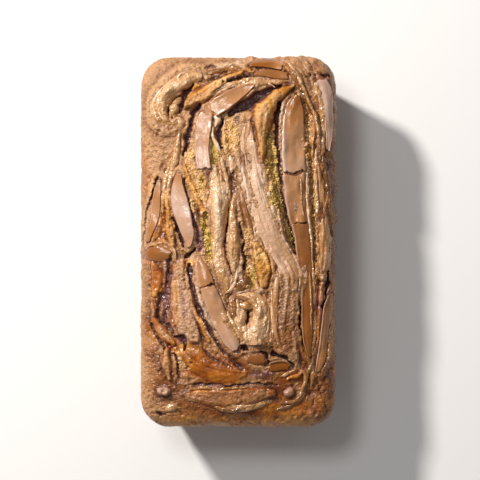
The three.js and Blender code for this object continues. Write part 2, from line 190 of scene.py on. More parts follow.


# Bands of spread, each standing for one solid. A route point is [x, y, half width]. Rise and tone are lists
# of values from the route's first end to its last; tone runs from 0, brown, to 1, pale. Tilt lifts the left
# edge, seen along the route, rim pales and lifts the right edge, bulge arches the band and buckle dents it.
# Tone is partly painted light: paler where the lamp's sheen falls, darker on shaded stretches. The rim's
# paling is a painted highlight on the lifted edge.

# Slabs broke with sharp edges. The patch at the left is as flat as they are, but still glossy.
slabs = {
    "chocolate_slab_upper": {"rise": [3.0], "tone": [0.52, 0.54, 0.44], "tilt": -0.3, "buckle": 1.3,
        "route": [[-15, 76, 4.8], [-10, 79, 5.1], [-3.5, 83.3, 4.4], [3, 87.3, 3], [8.5, 90.3, 1]]},
    "chocolate_slab_upper_left": {"rise": [2.6], "tone": [0.48, 0.66, 0.84], "tilt": 0.2,
        "route": [[-18.2, 74, 3.4], [-19.6, 69, 4.4], [-20.8, 61, 4.6], [-21, 53, 4.3], [-20.4, 47, 4.1],
            [-19.6, 41.8, 4.1]]},
    "chocolate_slab_left": {"rise": [3.0], "tone": [0.4, 0.7, 0.86, 0.74, 0.58], "tilt": 0.3, "bulge": 0.6,
        "route": [[-34, 39, 1.5], [-35, 33, 3.2], [-34.4, 26, 4.6], [-32.6, 18, 5.1], [-30.5, 10, 4.4],
            [-28.6, 3, 3.2], [-28.6, -3.5, 1]]},
    "chocolate_slab_lower_left_a": {"rise": [3.0], "tone": [0.38, 0.46], "bulge": 1.8, "rim": 0.2,
        "buckle": 1.6,
        "route": [[-22.5, -9.5, 1.6], [-21.5, -14, 3.8], [-20, -19.5, 4.7], [-18.2, -24.8, 4.6]]},
    "chocolate_slab_lower_left_b": {"rise": [3.2], "tone": [0.6, 0.6, 0.72], "tilt": 0.2, "bulge": 1.8,
        "rim": 0.1, "buckle": 1.8,
        "route": [[-17.7, -26, 4.5], [-15, -34, 5.1], [-11.5, -42, 5.3], [-7.6, -50, 5], [-4, -57, 4.3],
            [-1.2, -61.5, 2.4]]},
    "chocolate_slab_right_a": {"rise": [2.8], "tone": [0.2, 0.56, 0.66], "tilt": 0.2, "bulge": 1.2,
        "rim": 0.35, "buckle": 2.2,
        "route": [[33.5, 84, 2], [32.2, 78, 5], [31.6, 68, 6.5], [31.6, 56, 6.8], [32, 47, 6.9],
            [32.4, 40.4, 6.8]]},
    "chocolate_slab_right_b": {"rise": [2.6], "tone": [0.52, 0.5, 0.34], "tilt": 0.2, "bulge": 1.2,
        "rim": 0.3, "buckle": 1.8,
        "route": [[31.7, 38.6, 6.4], [32.3, 28, 6.3], [33.5, 18, 5.8], [34.9, 11.4, 5.2]]},
    "chocolate_slab_right_c": {"rise": [2.6], "tone": [0.34, 0.14, 0.14], "tilt": 0.1, "bulge": 0.8,
        "rim": 0.4,
        "route": [[35.4, 10.7, 5], [36.8, 0, 4.5], [38, -12, 4.2], [38.8, -24, 3.9], [39.5, -36, 3.6],
            [39.6, -48, 3.4], [39.8, -58, 2.4], [41, -66, 0.9]]},
    "chocolate_slab_corner": {"rise": [2.4], "tone": [0.84, 0.84, 0.8], "tilt": 0.6, "rim": 0.15,
        "route": [[47.3, 93, 3.6], [50, 86, 4.1], [51.4, 77, 3.2], [52.2, 68, 2.5], [52.2, 60, 1.8],
            [51.6, 53, 0.9]]},
    "chocolate_slab_top": {"rise": [2.2], "tone": [0.06, 0.1, 0.55], "bulge": 0.5,
        "route": [[6, 101.6, 0.9], [11, 102.8, 1.9], [18, 102.8, 2.6], [25, 101.4, 2.5]]},
    "chocolate_slab_top_inner": {"rise": [2.0], "tone": [0.3, 0.25], "bulge": 0.5,
        "route": [[9.5, 96.6, 0.9], [15, 97, 2], [22, 96.4, 2.6], [28, 95.4, 2.1]]},
    "chocolate_slab_right_low": {"rise": [2.4], "tone": [0.3, 0.5, 0.4], "bulge": 0.8, "rim": 0.45,
        "route": [[53.2, -30, 1.2], [51.4, -38, 2.5], [50, -48, 2.4], [49, -58, 2.4], [47.6, -67, 2.5],
            [45.6, -74, 1.4]]},
    "chocolate_slab_far_left": {"rise": [2.0], "tone": [0.45, 0.5, 0.36], "bulge": 0.5, "rim": 0.15,
        "route": [[-45.5, 36, 1], [-46.8, 28, 2.1], [-47.5, 20, 2.6], [-48.6, 12, 2.3], [-50.8, 6, 1.8],
            [-52.4, 0, 1]]},
    "chocolate_chip_lower": {"rise": [2.4], "tone": [0.3, 0.2], "bulge": 1.2,
        "route": [[5, -66, 2.2], [10, -66.8, 3.4], [15.4, -67.4, 3]]},
    "chocolate_slab_low": {"rise": [2.2], "tone": [0.02, 0.02], "bulge": 0.8, "rim": 0.6,
        "route": [[29.6, -71.8, 1.9], [26.5, -70.8, 2.8], [21.6, -71, 3.0], [17.6, -71.6, 2.4]]},
    "spread_patch_left": {"rise": [1.6, 2.2, 1.8], "tone": [0.1, 0.26, 0.3], "bulge": 1.3,
        "slot": "spread_glossy",
        "route": [[-53, -6.6, 3.4], [-48, -7, 4.8], [-43, -6.6, 4.5], [-39.5, -6.4, 3]]},
}
# Ropes are round folds, and smears were dragged out flat
ropes = {
    "spread_ribbon_right": {"rise": [2.4, 3.6, 3.4, 3], "tone": [0.36, 0.2, 0.1],
        "route": [[24.5, 104.6, 1.5], [28, 102, 2.5], [32, 97.2, 2.9], [35.7, 91, 2.7], [39.3, 83, 2.4],
            [43.2, 75, 2.4], [45.8, 66, 2.4], [46.8, 56, 2], [46.8, 47, 1.2]]},
    "spread_rope_centre": {"rise": [4, 4.8, 4.9, 4.7, 4.8, 5.2, 3.5],
        "tone": [0.64, 0.76, 0.74, 0.66, 0.54],
        "route": [[-14, 40, 2.9], [-12.3, 30, 5.7], [-11.6, 20, 6], [-11.9, 10, 5.2], [-12, 0, 3.9],
            [-10.7, -10, 3.9], [-9.2, -18, 3.9], [-7.8, -25, 3.2], [-7.2, -29, 1.4]]},
    "spread_rope_inner": {"rise": [3, 4.4, 4.2, 4.2, 3], "tone": [0.62, 0.6, 0.56],
        "route": [[-1.5, 31, 1.4], [-2.4, 22, 2.6], [-3.3, 14, 2.4], [-2.7, 6, 3.3], [-2.6, -3, 3.7],
            [-2.1, -11, 3.2], [-1.6, -17, 1.8]]},
    "spread_knot": {"rise": [3, 4.2, 4.6, 5.2, 6, 6.4], "tone": [0.54, 0.6, 0.54, 0.6, 0.8, 0.74],
        "route": [[-4.6, -31.4, 1.6], [2, -29.8, 2.8], [8.6, -31.8, 4.2], [12.2, -38, 4.8],
            [12.4, -46, 5.7], [10.6, -53.2, 7], [10.8, -58.8, 5.4]]},
    "spread_curl": {"rise": [3.4, 4.6, 4], "tone": [0.46, 0.8, 0.76, 0.5],
        "route": [[-0.6, -33, 1.4], [0.2, -38.6, 3.4], [0.4, -44, 3.8], [1.4, -50, 3], [4, -54.6, 1.6]]},
    "spread_hook": {"rise": [3.6, 5, 5, 4.6, 3.4], "tone": [0.6, 0.62, 0.52, 0.42],
        "route": [[-21, 94.5, 2.4], [-28, 95.3, 4.8], [-34, 91.3, 5.5], [-40, 86.4, 5.6],
            [-44.4, 80.6, 5.6], [-45.2, 74.6, 5.2], [-42.6, 69.4, 4], [-38.6, 67.2, 2.6],
            [-34.8, 68.8, 1.3]]},
    "spread_fold_bottom": {"rise": [1.8], "tone": [0.3, 0.56, 0.3],
        "route": [[-31, -90, 1.2], [-22, -91.2, 2.2], [-12, -93.6, 2.2], [-2, -95.6, 2.4], [7, -94.5, 2.1],
            [16, -92.2, 1.6], [24, -91, 1]]},
}
smears = {
    "spread_smear_main": {"rise": [3, 3.2, 3.4, 3.8, 4.6, 5.6, 4, 3],
        "tone": [0.6, 0.84, 0.88, 0.74, 0.72, 0.5, 0.34, 0.3], "tilt": 0.45,
        "route": [[5, 67, 3.2], [4.5, 58, 5], [6.2, 46, 6.4], [8.6, 34, 7.8], [11.8, 22, 8.2],
            [15.4, 10, 8.2], [20.2, -1, 8], [26.4, -10, 7.8], [31.2, -19, 7], [30.6, -30, 4.8],
            [28.5, -41, 5.4], [27.5, -51, 4.6], [29, -60, 2.8], [31, -66, 1.3]]},
    "spread_tongue": {"rise": [2.6], "tone": [0.3, 0.1, 0.2],
        "route": [[2, 26, 1.5], [3.4, 21, 2.6], [5.8, 12, 3.2], [8, 4, 2.2]]},
    "spread_strand_inner": {"rise": [3.2], "tone": [0.5, 0.42],
        "route": [[14.8, -30, 1], [16.6, -38, 1.6], [17.4, -47, 1.6], [18.2, -55, 0.9]]},
    "spread_strand_outer": {"rise": [3.6], "tone": [0.62, 0.4],
        "route": [[22.6, -17, 1.3], [21.4, -28, 2.3], [20.8, -41, 2.1], [21.6, -53, 1.7],
            [26, -62.5, 0.9]]},
    "spread_smear_right": {"rise": [3, 3.4, 3.8], "tone": [0.52, 0.46, 0.5],
        "route": [[46.2, 43, 1], [47, 34, 2.2], [48.2, 22, 3], [49, 10, 3.8], [49.6, -2, 4.4],
            [49.6, -12, 4], [48.8, -18, 1.8]]},
}


def named(fields, rows):
    # Gives the values in each row their names
    return [dict(zip(fields, row)) for row in rows]


# Thin ribbons, lips and threads of spread between the bands; flat is how far each stands over the crown
ribbons = named(("tone", "flat", "route"), [
    (0.6, 0.8, [[-16, 84, 1.3], [-8, 89, 1.8], [0, 91.5, 2], [8, 93.5, 1.6]]),
    (0.3, 0.8, [[-18, 96.8, 0.6], [-10, 98.8, 1.7], [-2, 100, 1.5], [5, 100.8, 0.8]]),
    (0.55, 0.8, [[4, 91, 1], [12, 91.5, 1.8], [20, 91.8, 1.5], [29, 92.8, 0.8]]),
    # A thin pale thread: raised, and pale as a painted highlight.
    (0.8, 1, [[15, 92.6, 0.4], [17.6, 91, 0.5], [20.6, 88.6, 0.4]]),
    (0.5, 3.3, [[26, 105.4, 0.5], [30.6, 101, 0.9], [34.6, 95, 0.9], [38, 86, 0.9], [41.2, 79, 1],
        [44.6, 71, 1], [46.4, 61, 0.7]]),
    (0.75, 1.2, [[44.6, 54, 0.6], [44.5, 38, 1.1], [45, 25, 1], [44.7, 12, 0.6]]),
    (0.5, 1.2, [[43.6, 92, 2], [46, 84, 2.4], [48.3, 74, 1.8], [48.5, 62, 1.5], [48, 50, 1.4]]),
    (0, 1, [[48.4, 50, 1.2], [50, 40, 1.8], [51.5, 28, 1.7], [53, 15, 1.4], [54.3, 3, 0.9]]),
    (0.65, 1.6, [[39.5, 38, 0.8], [40, 20, 1], [41.5, 5, 1], [42, -10, 0.9], [43, -25, 1],
        [43.6, -36, 0.7]]),
    (0.9, 2.4, [[39.2, 37.6, 0.4], [39.4, 26, 0.5], [40.4, 14, 0.5], [41.8, 0, 0.4]]),
    (0.6, 3.2, [[35.6, 36.4, 0.4], [36.2, 24, 0.5], [37.6, 12, 0.4]]),
    (0.4, 3, [[40.4, -18, 0.4], [41.6, -34, 0.5], [42, -50, 0.4]]),
    (0.55, 1.4, [[44, -40, 0.8], [43.6, -55, 1.1], [41.5, -66, 0.7]]),
    (0.85, 1.6, [[-14.5, 67, 0.5], [-14.5, 60, 0.8], [-12, 55, 0.8], [-10, 50, 0.6]]),
    (0.9, 1, [[-16, 72.8, 1], [-12, 70.4, 1.5], [-13.6, 66, 0.8]]),
    (0.75, 2, [[-10, 48.6, 0.8], [-8.5, 42, 1], [-6.3, 34, 1], [-6.5, 28, 1], [-8.4, 26.6, 0.7]]),
    (0.75, 2.4, [[-10.5, 39.6, 0.6], [-9, 33, 0.7], [-7.8, 28, 0.6]]),
    (0.8, 1.4, [[-5, 49.6, 1.3], [-3.5, 44, 1.8], [-4.5, 39.6, 0.9]]),
    (0.7, 2, [[-0.8, -16, 0.6], [-1.5, -22, 0.9], [-4.6, -27.6, 1], [-8, -29.6, 0.7]]),
    (0.08, 1.2, [[4.4, -18.6, 1.6], [3.2, -23.4, 4], [-1.6, -27.4, 2.6]]),
    (0.16, 0.9, [[-3.6, -33, 1.8], [-2.8, -40, 3.2], [-1.6, -47, 2.2]]),
    (0.4, 3, [[0.8, -36, 1.2], [4, -36.6, 2], [7.6, -37.6, 1.6]]),
    (0.6, 3.4, [[1.6, -48.6, 1.6], [4, -50.4, 2.6], [6.6, -53.6, 2.8]]),
    (0.5, 2.6, [[-3.4, -50, 1.2], [0.6, -53, 2.4], [4, -56.4, 2.4]]),
    (0.5, 3.2, [[-11, -36.6, 0.8], [-8.2, -42.6, 1.9], [-4.8, -49, 2.5], [-1.6, -55, 2.1], [0.6, -59, 1]]),
    (0.7, 3.2, [[-6.8, -39, 0.6], [-4.2, -45, 1.5], [-1.2, -51, 1.8], [2, -56, 1]]),
    (0.3, 2, [[8.6, -58, 2.4], [13, -57.4, 3.6], [16.6, -55, 1.6]]),
    (0.7, 2.4, [[19, -27, 0.5], [19, -42, 0.7], [19.5, -55, 0.5]]),
    (0.3, 1, [[53, -47, 1.2], [52.5, -55, 1.8], [52, -62, 1.8], [51.4, -70, 1.2]]),
    (0.7, 1.4, [[54.2, -32, 0.4], [53, -40, 0.7], [52, -48, 0.4]]),
    (0.65, 1.4, [[-34, 63, 0.8], [-35, 54, 1.6], [-37, 45, 1.8], [-39, 37, 1.5], [-40.6, 29, 1]]),
    (0.6, 1.4, [[-38, 49, 0.8], [-41, 38, 1.1], [-43, 28, 1.1], [-43.6, 17, 0.8]]),
    (0.45, 1.4, [[-54.4, -4, 0.4], [-50, -2, 0.6], [-45, -0.8, 0.7], [-41, -1, 0.6], [-37.6, -4, 0.6],
        [-36, -8, 0.4]]),
    (0.3, 1.6, [[-29, -84.6, 0.5], [-20, -83.6, 0.8], [-8, -84.4, 0.8], [4, -83.6, 0.6]]),
    (0.2, 2.2, [[-14, -94.6, 0.6], [-4, -96.6, 1.6], [4, -95.4, 0.7]]),
    (0.22, 1.2, [[21.6, -90.6, 0.6], [26, -92.4, 1.1], [32, -91.6, 1.1], [36, -87, 1], [39, -80, 0.6]]),
    (0.45, 0.8, [[-42.4, -97.4, 0.8], [-38, -95, 2.3], [-33.6, -95.6, 0.8]]),
    (0.5, 1.2, [[23.6, -77.2, 0.9], [28, -75.5, 1.4], [32.4, -73.4, 0.8]]),
    (0.4, 1.4, [[35, -73.5, 0.6], [38, -75.4, 0.9], [38.6, -80, 0.9], [36.6, -85, 0.8], [33, -90, 0.5]]),
    (0.12, 1.2, [[36, -59, 0.8], [40, -66, 1.2], [42.5, -75, 1.2], [41.5, -84, 0.8]]),
    (0.08, 1.2, [[44.4, -60, 0.8], [42.6, -67, 1.2], [40, -75, 1.1], [38, -84, 0.7]]),
    (0.7, 1.4, [[-41.8, 75.4, 0.6], [-41, 70.6, 0.9], [-37.6, 69.2, 0.9], [-35, 71.4, 0.7],
        [-33.6, 66.4, 0.5]]),
    (0.5, 0.2, [[-36.4, 80, 1.2], [-37.5, 75.6, 2.6], [-39.4, 71.6, 1.2]]),
    # Pale crests on the hook's outer edge: raised, and partly painted highlight.
    (0.95, 2.9, [[-43.4, 89, 0.4], [-47.4, 84, 0.6], [-49, 78, 0.6], [-47.6, 71.6, 0.3]]),
    (0.9, 4.6, [[-33, 93.6, 0.3], [-38, 90.4, 0.5], [-42.6, 86, 0.4]]),
    (0.9, 3.8, [[-29.6, 98.4, 0.3], [-34, 96, 0.6], [-36.2, 92.2, 0.3]]),
    (0.85, 3.6, [[-46.4, 80, 0.3], [-45.4, 74, 0.5], [-42.6, 69.4, 0.4]]),
    (0.06, 0.6, [[22, -96.5, 0.7], [30, -94, 1.4], [36.6, -89, 1.1], [39.4, -79, 0.8]]),
])

# Ridges of the bread itself: how toasted, golden and grey-rose each is toward its edges, and the share of its
# half width that is flat on top
breadRidges = named(("rise", "toast", "gold", "mauve", "flat", "route"), [
    (4.0, 0.25, 0.6, 0, 0.35, [[31.5, 90, 0.8], [27, 87, 2.8], [21, 82, 4.4], [15.5, 76, 6], [13, 69, 5.6],
        [13.4, 61, 3.4], [13.8, 53, 2.2], [13.6, 45, 0.8]]),
    (3.6, 0.2, 0.8, 0, 0.35, [[-33, 77, 1], [-27, 81, 4], [-20, 85, 4.4], [-13, 90, 3.4], [-6, 94.3, 2.2],
        [2, 97.2, 1.4]]),
    (2.2, 0, 0, 0.5, 0.7, [[-33, -11.5, 2.6], [-33, -20, 4.4], [-32.5, -30, 5.4], [-32, -40, 6],
        [-30, -48, 5.8], [-25, -55, 3.4]]),
    (1.5, 0.5, 1.3, 0, 0.35, [[-36.4, -13, 1], [-37, -24, 1.6], [-36.8, -36, 1.7], [-36, -47, 1.2]]),
    (1.4, 0.4, 1.3, 0, 0.35, [[-30.6, -15, 0.8], [-29.6, -25, 1.1], [-26.8, -35.6, 1.2],
        [-22.4, -46.4, 1.3], [-16.4, -57, 1]]),
    (3.2, 0, 0.9, 0, 0.6, [[10.4, -1.6, 1.8], [12.6, -8, 4.2], [14.4, -16, 4.4], [15, -24.6, 2.6]]),
    (2.6, 0.2, 0.8, 0, 0.35, [[-41.5, 28, 1.2], [-40.8, 18, 1.8], [-39.6, 8, 3], [-38, -1, 1.8]]),
    (2.0, 0.8, 0, 0, 0.35, [[-50, -36, 1.2], [-48, -45, 2.6], [-43, -53, 3], [-37, -58, 1.6]]),
    (2.0, 0.7, 0, 0, 0.35, [[-41, -62, 1.4], [-41, -69, 3.2], [-40, -78, 1.6]]),
    (1.6, 0.9, 0, 0, 0.35, [[-48, -12, 2.4], [-47, -21, 3.6], [-48, -31, 2]]),
    (1.3, 1, 0, 0, 0.35, [[-31, -64, 3], [-23, -69.5, 7], [-13, -73.5, 7.4], [-4, -74.6, 5.6],
        [3, -75.4, 2.6]]),
    (2.4, 0.9, 0, 0, 0.6, [[-30, -88, 2], [-20, -88.6, 4.8], [-6, -90, 6.2], [8, -88.4, 5.4],
        [20, -86.4, 2]]),
    (3.6, 0, 0, 1, 0.35, [[-44, -85.6, 2.7], [-43, -85.3, 3.1], [-42, -85.6, 2.7]]),
    (3.4, 0, 0, 1, 0.35, [[28.6, -86.5, 2.6], [29.4, -86.3, 2.9], [30.2, -86.5, 2.6]]),
    (1.5, 0.2, 1.6, 0, 0.35, [[-30.8, 45, 0.9], [-27.6, 34, 1.5], [-23.6, 24.4, 1.6], [-18, 15.6, 1]]),
    (2.2, 0.8, 0.4, 0, 0.35, [[42, 77, 1], [43.4, 68, 1.4], [43.4, 58, 1.4], [42.4, 49, 0.9]]),
    (1.6, 1, 0, 0, 0.35, [[48.4, -23, 1.2], [47.6, -34, 1.6], [46, -48, 1.5], [45, -60, 1]]),
    (1.8, 1, 0.2, 0, 0.35, [[28.4, -79, 0.8], [33, -77.6, 1.8], [36.4, -75, 0.8]]),
])

# Valleys and cracks, with how much dark wet filling and how much open crumb each shows
valleys = named(("depth", "fudge", "crumb", "route"), [
    (3.7, 1, 0, [[-5, 74, 1.8], [2, 77.4, 3.4], [8, 81.5, 4], [16, 86.6, 2.6], [24, 90, 1.6]]),
    (2.2, 0, 1, [[18, 62, 1.4], [18.4, 54, 3.2], [20.6, 44, 3.6], [22, 34, 3.2], [24, 22, 2.8],
        [27, 11, 3.2], [30.4, 1, 3], [33.4, -7, 1.2]]),
    (3.7, 1, 0, [[23.8, 79, 1], [22, 70, 1.6], [22.4, 58, 1.5], [23, 46, 1.4], [25, 30, 1.1],
        [27.6, 16, 1.1], [32, 0, 1.1], [35, -9, 0.8]]),
    (3.1, 1, 0, [[-22, 78, 1.4], [-26, 73, 2.2], [-27.6, 65, 1.7], [-29.6, 57, 1.5], [-32, 50, 1.2]]),
    (0.3, 0, 1, [[-15.2, 60, 1.2], [-14.6, 53, 2.1], [-13.6, 46, 2.2]]),
    (3.7, 1, 0, [[-8.5, 69.5, 1.6], [-11.5, 63, 1.6], [-10.6, 55, 1]]),
    (1.8, 0, 1, [[-19, 16, 1.2], [-18.8, 8, 2], [-17.8, 0, 2], [-15.6, -9, 1.6]]),
    (0.9, 0.9, 0, [[-31.8, 37, 0.6], [-30, 29, 0.8], [-27, 18, 1.2], [-24.2, 8, 2], [-21.5, -4, 2]]),
    (2.5, 1, 0, [[-38, 14, 0.7], [-35.4, 8, 1.1], [-33, 2, 1.1], [-31.6, -3, 0.8]]),
    (3.1, 1, 0, [[-30.6, -8.4, 0.8], [-27.5, -6.5, 1.3], [-25, -4, 0.8]]),
    (1.9, 1, 0, [[-28, -13, 1.4], [-27, -23, 1.5], [-23.6, -35, 1.5], [-19, -46, 1.4], [-12, -58, 1.4],
        [-4, -67, 1], [2, -73, 0.8]]),
    (1.3, 1, 0, [[-39.6, -10, 1.2], [-41, -24, 2.4], [-41, -36, 2], [-42, -44, 1.5], [-37.4, -53, 0.9]]),
    (2.2, 1, 0, [[-44, -31, 1.6], [-46.3, -42.5, 1], [-40, -50, 0.8]]),
    (3.1, 1, 0, [[-36, -54, 0.7], [-31.5, -55.5, 1.6], [-31, -62, 0.9]]),
    (0.8, 0, 1, [[5, -9, 1.2], [7, -16, 2.6], [8, -25, 2.4]]),
    (3.1, 1, 0, [[3, 19, 0.5], [5, 16.4, 1], [7.4, 15, 0.5]]),
    (2.5, 1, 0, [[0.5, 11, 0.7], [1.6, 5, 0.8], [3.2, 0, 0.9], [2, -4, 0.9], [4, -9, 0.9], [3, -15, 0.9]]),
    (3.1, 1, 0, [[5.4, -40, 1], [5.3, -44, 1.6], [5, -48, 1]]),
    (3.1, 1, 0, [[1.6, -59, 0.6], [3.6, -60.4, 1.4], [5, -62.4, 0.6]]),
    (3.7, 1, 0, [[51.2, -17, 0.6], [51.3, -25, 1.2], [50, -33, 0.8], [48.8, -39, 0.5]]),
    (3.1, 1, 0, [[19, -63.6, 0.8], [24.5, -65.4, 1.2], [28.6, -67.4, 1.1], [30.8, -71, 0.7]]),
    (2.5, 1, 0, [[13, -63, 0.5], [16, -64.6, 0.8], [16.8, -69, 0.6]]),
    (2.5, 1, 0, [[35.4, -26, 0.5], [35, -38, 0.9], [36, -50, 0.9], [38, -62, 0.6]]),
    (2.6, 1, 0, [[-26, 90, 0.6], [-30.6, 85, 1.5], [-33, 79, 1.2], [-34, 75, 0.7]]),
    (2.4, 0.35, 0, [[-34, 84, 0.6], [-38, 81.4, 1], [-40.4, 77.4, 1.2], [-40.2, 73.4, 1],
        [-38.4, 71.2, 0.6]]),
    (2.0, 0.8, 0, [[-9, 91.5, 0.7], [-3, 93.5, 0.8], [6, 95, 0.8], [12, 97, 0.6]]),
    (1.9, 1, 0, [[-19.4, 100.5, 0.6], [-16, 101, 1], [-12.6, 100, 0.7]]),
    (2.5, 0.9, 0, [[6, 99.6, 0.4], [15, 99.8, 0.6], [23, 99, 0.6], [31, 96.6, 0.5]]),
    (2.0, 0.8, 0, [[39, 95, 0.5], [45, 97, 0.7], [52, 95.6, 0.5]]),
    (1.0, 0.1, 0.8, [[38.5, 80, 1.2], [39.7, 66, 1.5], [41, 48, 1.6], [42.3, 28, 1.5], [43.6, 4, 1.3],
        [44.4, -12, 0.9]]),
    (1.6, 0.8, 0, [[-46, 38, 0.5], [-49, 29, 0.8], [-52, 21, 0.8], [-54, 8, 0.6], [-55, -3, 0.5]]),
    (2.0, 0.9, 0, [[-50, -47, 0.5], [-48, -52, 0.7], [-44, -58, 0.7], [-41.6, -61, 0.5]]),
    (2.5, 1, 0, [[-37.6, -63.6, 0.6], [-35.8, -67, 1.2], [-35, -73, 0.6], [-34, -79, 0.5]]),
    (1.5, 0.8, 0, [[-20, -59.6, 0.5], [-17.6, -65, 0.8], [-12, -68, 0.8], [-6, -70.4, 0.5]]),
    (1.4, 0.9, 0, [[-31, -83, 0.5], [-18, -81.6, 0.8], [-5, -82.6, 0.9], [8, -81.4, 0.8], [22, -82, 0.5]]),
    (1.2, 0.6, 0, [[45, -77, 0.4], [46.5, -84, 0.6], [49, -92, 0.6], [51, -98, 0.4]]),
    (1.2, 0.6, 0, [[40.5, -84, 0.4], [41.5, -89, 0.6], [43, -93, 0.4]]),
    (2.0, 0.9, 0, [[-47, -98, 0.6], [-45, -98.6, 1.3], [-42.6, -99.4, 0.6]]),
    (1.9, 0.9, 0, [[-5, 20, 0.5], [-6.6, 10, 0.9], [-7.4, 0, 0.9], [-6.4, -10, 0.9], [-3.6, -20, 0.6]]),
])

# Soft patches of colour and texture on the bread: [x, y, reach across, reach along, strength]
patches = {
    # Toasted dark orange
    "toast": [[-12, -73, 22, 9, 1], [-24, -70, 9, 10, 1], [-38, -32, 2.4, 21, 0.8], [0, -103, 46, 6, 0.5],
        [28, -96, 20, 6, 0.8], [25, 87.5, 6, 3.4, 0.95], [0, -100, 40, 4, 0.4], [22, -97, 26, 5, 0.8],
        [-46, -22, 6, 11, 0.9], [-47, -11, 7, 4, 0.8], [30, -78, 7, 4, 1], [46.5, -42, 3, 20, 1],
        [43, 68, 2.5, 10, 0.9], [-43, 8, 4, 12, 0.6], [-46, 3, 5, 6, 0.7], [-55, 45, 3, 22, 0.6],
        [14, 50, 3, 8, 0.6], [-5, -88, 30, 6, 0.5], [24, -86, 9, 4, 0.9], [-48, -47, 5, 8, 0.9],
        [-36, -58, 9, 4, 0.9], [40, -60, 4, 14, 0.7], [-30, -62, 8, 4, 0.8]],
    # Bright golden; the strip along the lower edge is partly painted light on the edge that faces away from
    # the lamp
    "gold": [[0, -104, 46, 4, 0.55], [25, -98, 14, 5, 0.3], [-46, 3, 4, 4, 0.6], [18, 80, 3, 6, 0.9],
        [20, 62, 1.6, 12, 0.8], [-26, 88, 9, 2.6, 1], [0, 98.4, 12, 1.6, 0.9], [14, -12, 4, 10, 1],
        [-20, 36, 2, 5, 0.9], [-43, 14, 2.6, 12, 0.8], [-28, -13, 6, 3, 0.8], [-24, -60, 8, 4, 0.7],
        [-50, 30, 3, 10, 0.3]],
    # A thin dark glossy film of spread, laid mostly toward the lower end and right edge, where it is partly
    # painted shade
    "filmAndShade": [[53, 20, 6, 60, 0.9], [50, -80, 12, 26, 1], [42, -80, 8, 16, 0.9], [0, -92, 50, 9, 1],
        [-41, -68, 5, 12, 0.9], [45, 80, 7, 24, 0.8], [-48, -45, 8, 20, 0.9], [44, 20, 5, 60, 0.7],
        [20, 100, 16, 6, 0.8], [45, -60, 8, 26, 0.9], [25, -78, 14, 7, 0.9], [20, -54, 16, 14, 0.8],
        [-42, -80, 12, 12, 0.9], [0, -100, 54, 7, 0.5], [-46, 15, 6, 24, 0.3], [50, 95, 6, 6, 0.9],
        [-50, -60, 6, 20, 0.8], [-4, -62, 14, 6, 0.7], [-50, -30, 5, 16, 0.6]],
    # Where the crust broke up at the rim
    "craggy": [[22, 104, 30, 9, 1], [56, 40, 7, 60, 0.9], [10, -106, 50, 9, 0.5], [-54, -30, 7, 50, 0.4]],
    "crumb": [[-5, 60, 6, 11, 1], [-24, 32, 4.5, 14, 0.9], [-27, 50, 3, 9, 0.9], [6, 0, 4, 9, 0.4],
        [8, -18, 4, 8, 1], [-31, -69, 3.5, 4, 0.8], [20, 36, 4, 26, 1], [-18, 2, 2.5, 14, 0.9],
        [4, 3, 3, 5, 0.8], [41, 40, 2, 30, 0.7]],
    # Where the crumb is yellow or olive
    "olive": [[20, 50, 5, 14, 0.5], [23, 30, 4, 16, 0.6], [29, 6, 4, 12, 0.6], [-14.5, 52, 3, 10, 1],
        [-18, 4, 3, 16, 1], [-20, 37, 2.4, 7, 1], [8, -22, 4, 8, 0.6], [-24, -46, 2, 8, 0.6],
        [-46, 3, 3, 5, 0.6]],
    "fudge": [[14, -76, 9, 2.4, 0.8], [-25, 77, 3.5, 4, 0.8], [-31.5, -56, 3, 3, 0.9], [47, -36, 2, 9, 0.8],
        [-40, -20, 3, 8, 0.5]],
    # Where the batter was dragged out into streaks, rather than risen smooth
    "streaked": [[8, 20, 40, 80, 1], [0, -40, 46, 24, 1], [0, -76, 46, 22, 0.25], [42, 20, 14, 90, 1],
        [-38, 12, 12, 36, 0.8], [-40, -40, 14, 40, 0.8], [0, 94, 34, 12, 0.8], [-38, 82, 10, 14, 0.2],
        [0, -98, 50, 8, 0.25]],
    # Grey-rose skin on nuts and on the paler torn bread
    "mauve": [[-32, -32, 4, 16, 0.6], [-24, 6, 2.6, 12, 0.9]],
}


# How the batter flowed: the direction of the nearest routes, as a doubled angle on a coarse grid
flowForm = {"pitch": 2.5, "routeStep": 3.0, "nearest": 4, "fade": 1.5}


def buildFlow(routes):
    pitch = flowForm["pitch"]
    halfX, halfY = loaf["width"] / 2 + pitch, loaf["length"] / 2 + pitch
    gx = np.arange(-halfX, halfX + pitch, pitch)
    gy = np.arange(-halfY, halfY + pitch, pitch)
    spots = np.stack(np.meshgrid(gx, gy, indexing="ij"), axis=-1).reshape(-1, 2)
    lines = [traceRoute(route, flowForm["routeStep"])[0][:, :2] for route in routes]
    middle = np.vstack([(line[1:] + line[:-1]) / 2 for line in lines])
    along = np.vstack([np.diff(line, axis=0) for line in lines])
    angle = 2 * np.arctan2(along[:, 1], along[:, 0])
    gap = ((spots[:, None, :] - middle[None, :, :]) ** 2).sum(2)
    weight = 1 / (gap + flowForm["nearest"]) ** flowForm["fade"]
    weight /= weight.sum(1, keepdims=True)
    field = np.stack([weight @ np.cos(angle), weight @ np.sin(angle)], axis=1).reshape(len(gx), len(gy), 2)
    return {"x": gx, "y": gy, "pitch": pitch, "field": field}


def flowAt(flow, x, y):
    u = np.clip((x - flow["x"][0]) / flow["pitch"], 0, len(flow["x"]) - 1.001)
    v = np.clip((y - flow["y"][0]) / flow["pitch"], 0, len(flow["y"]) - 1.001)
    i, j = u.astype(int), v.astype(int)
    fu, fv = (u - i)[:, None], (v - j)[:, None]
    field = flow["field"]
    near = (field[i, j] * (1 - fu) + field[i + 1, j] * fu) * (1 - fv)
    near = near + (field[i, j + 1] * (1 - fu) + field[i + 1, j + 1] * fu) * fv
    angle = np.arctan2(near[:, 1], near[:, 0]) / 2
    return np.cos(angle), np.sin(angle)


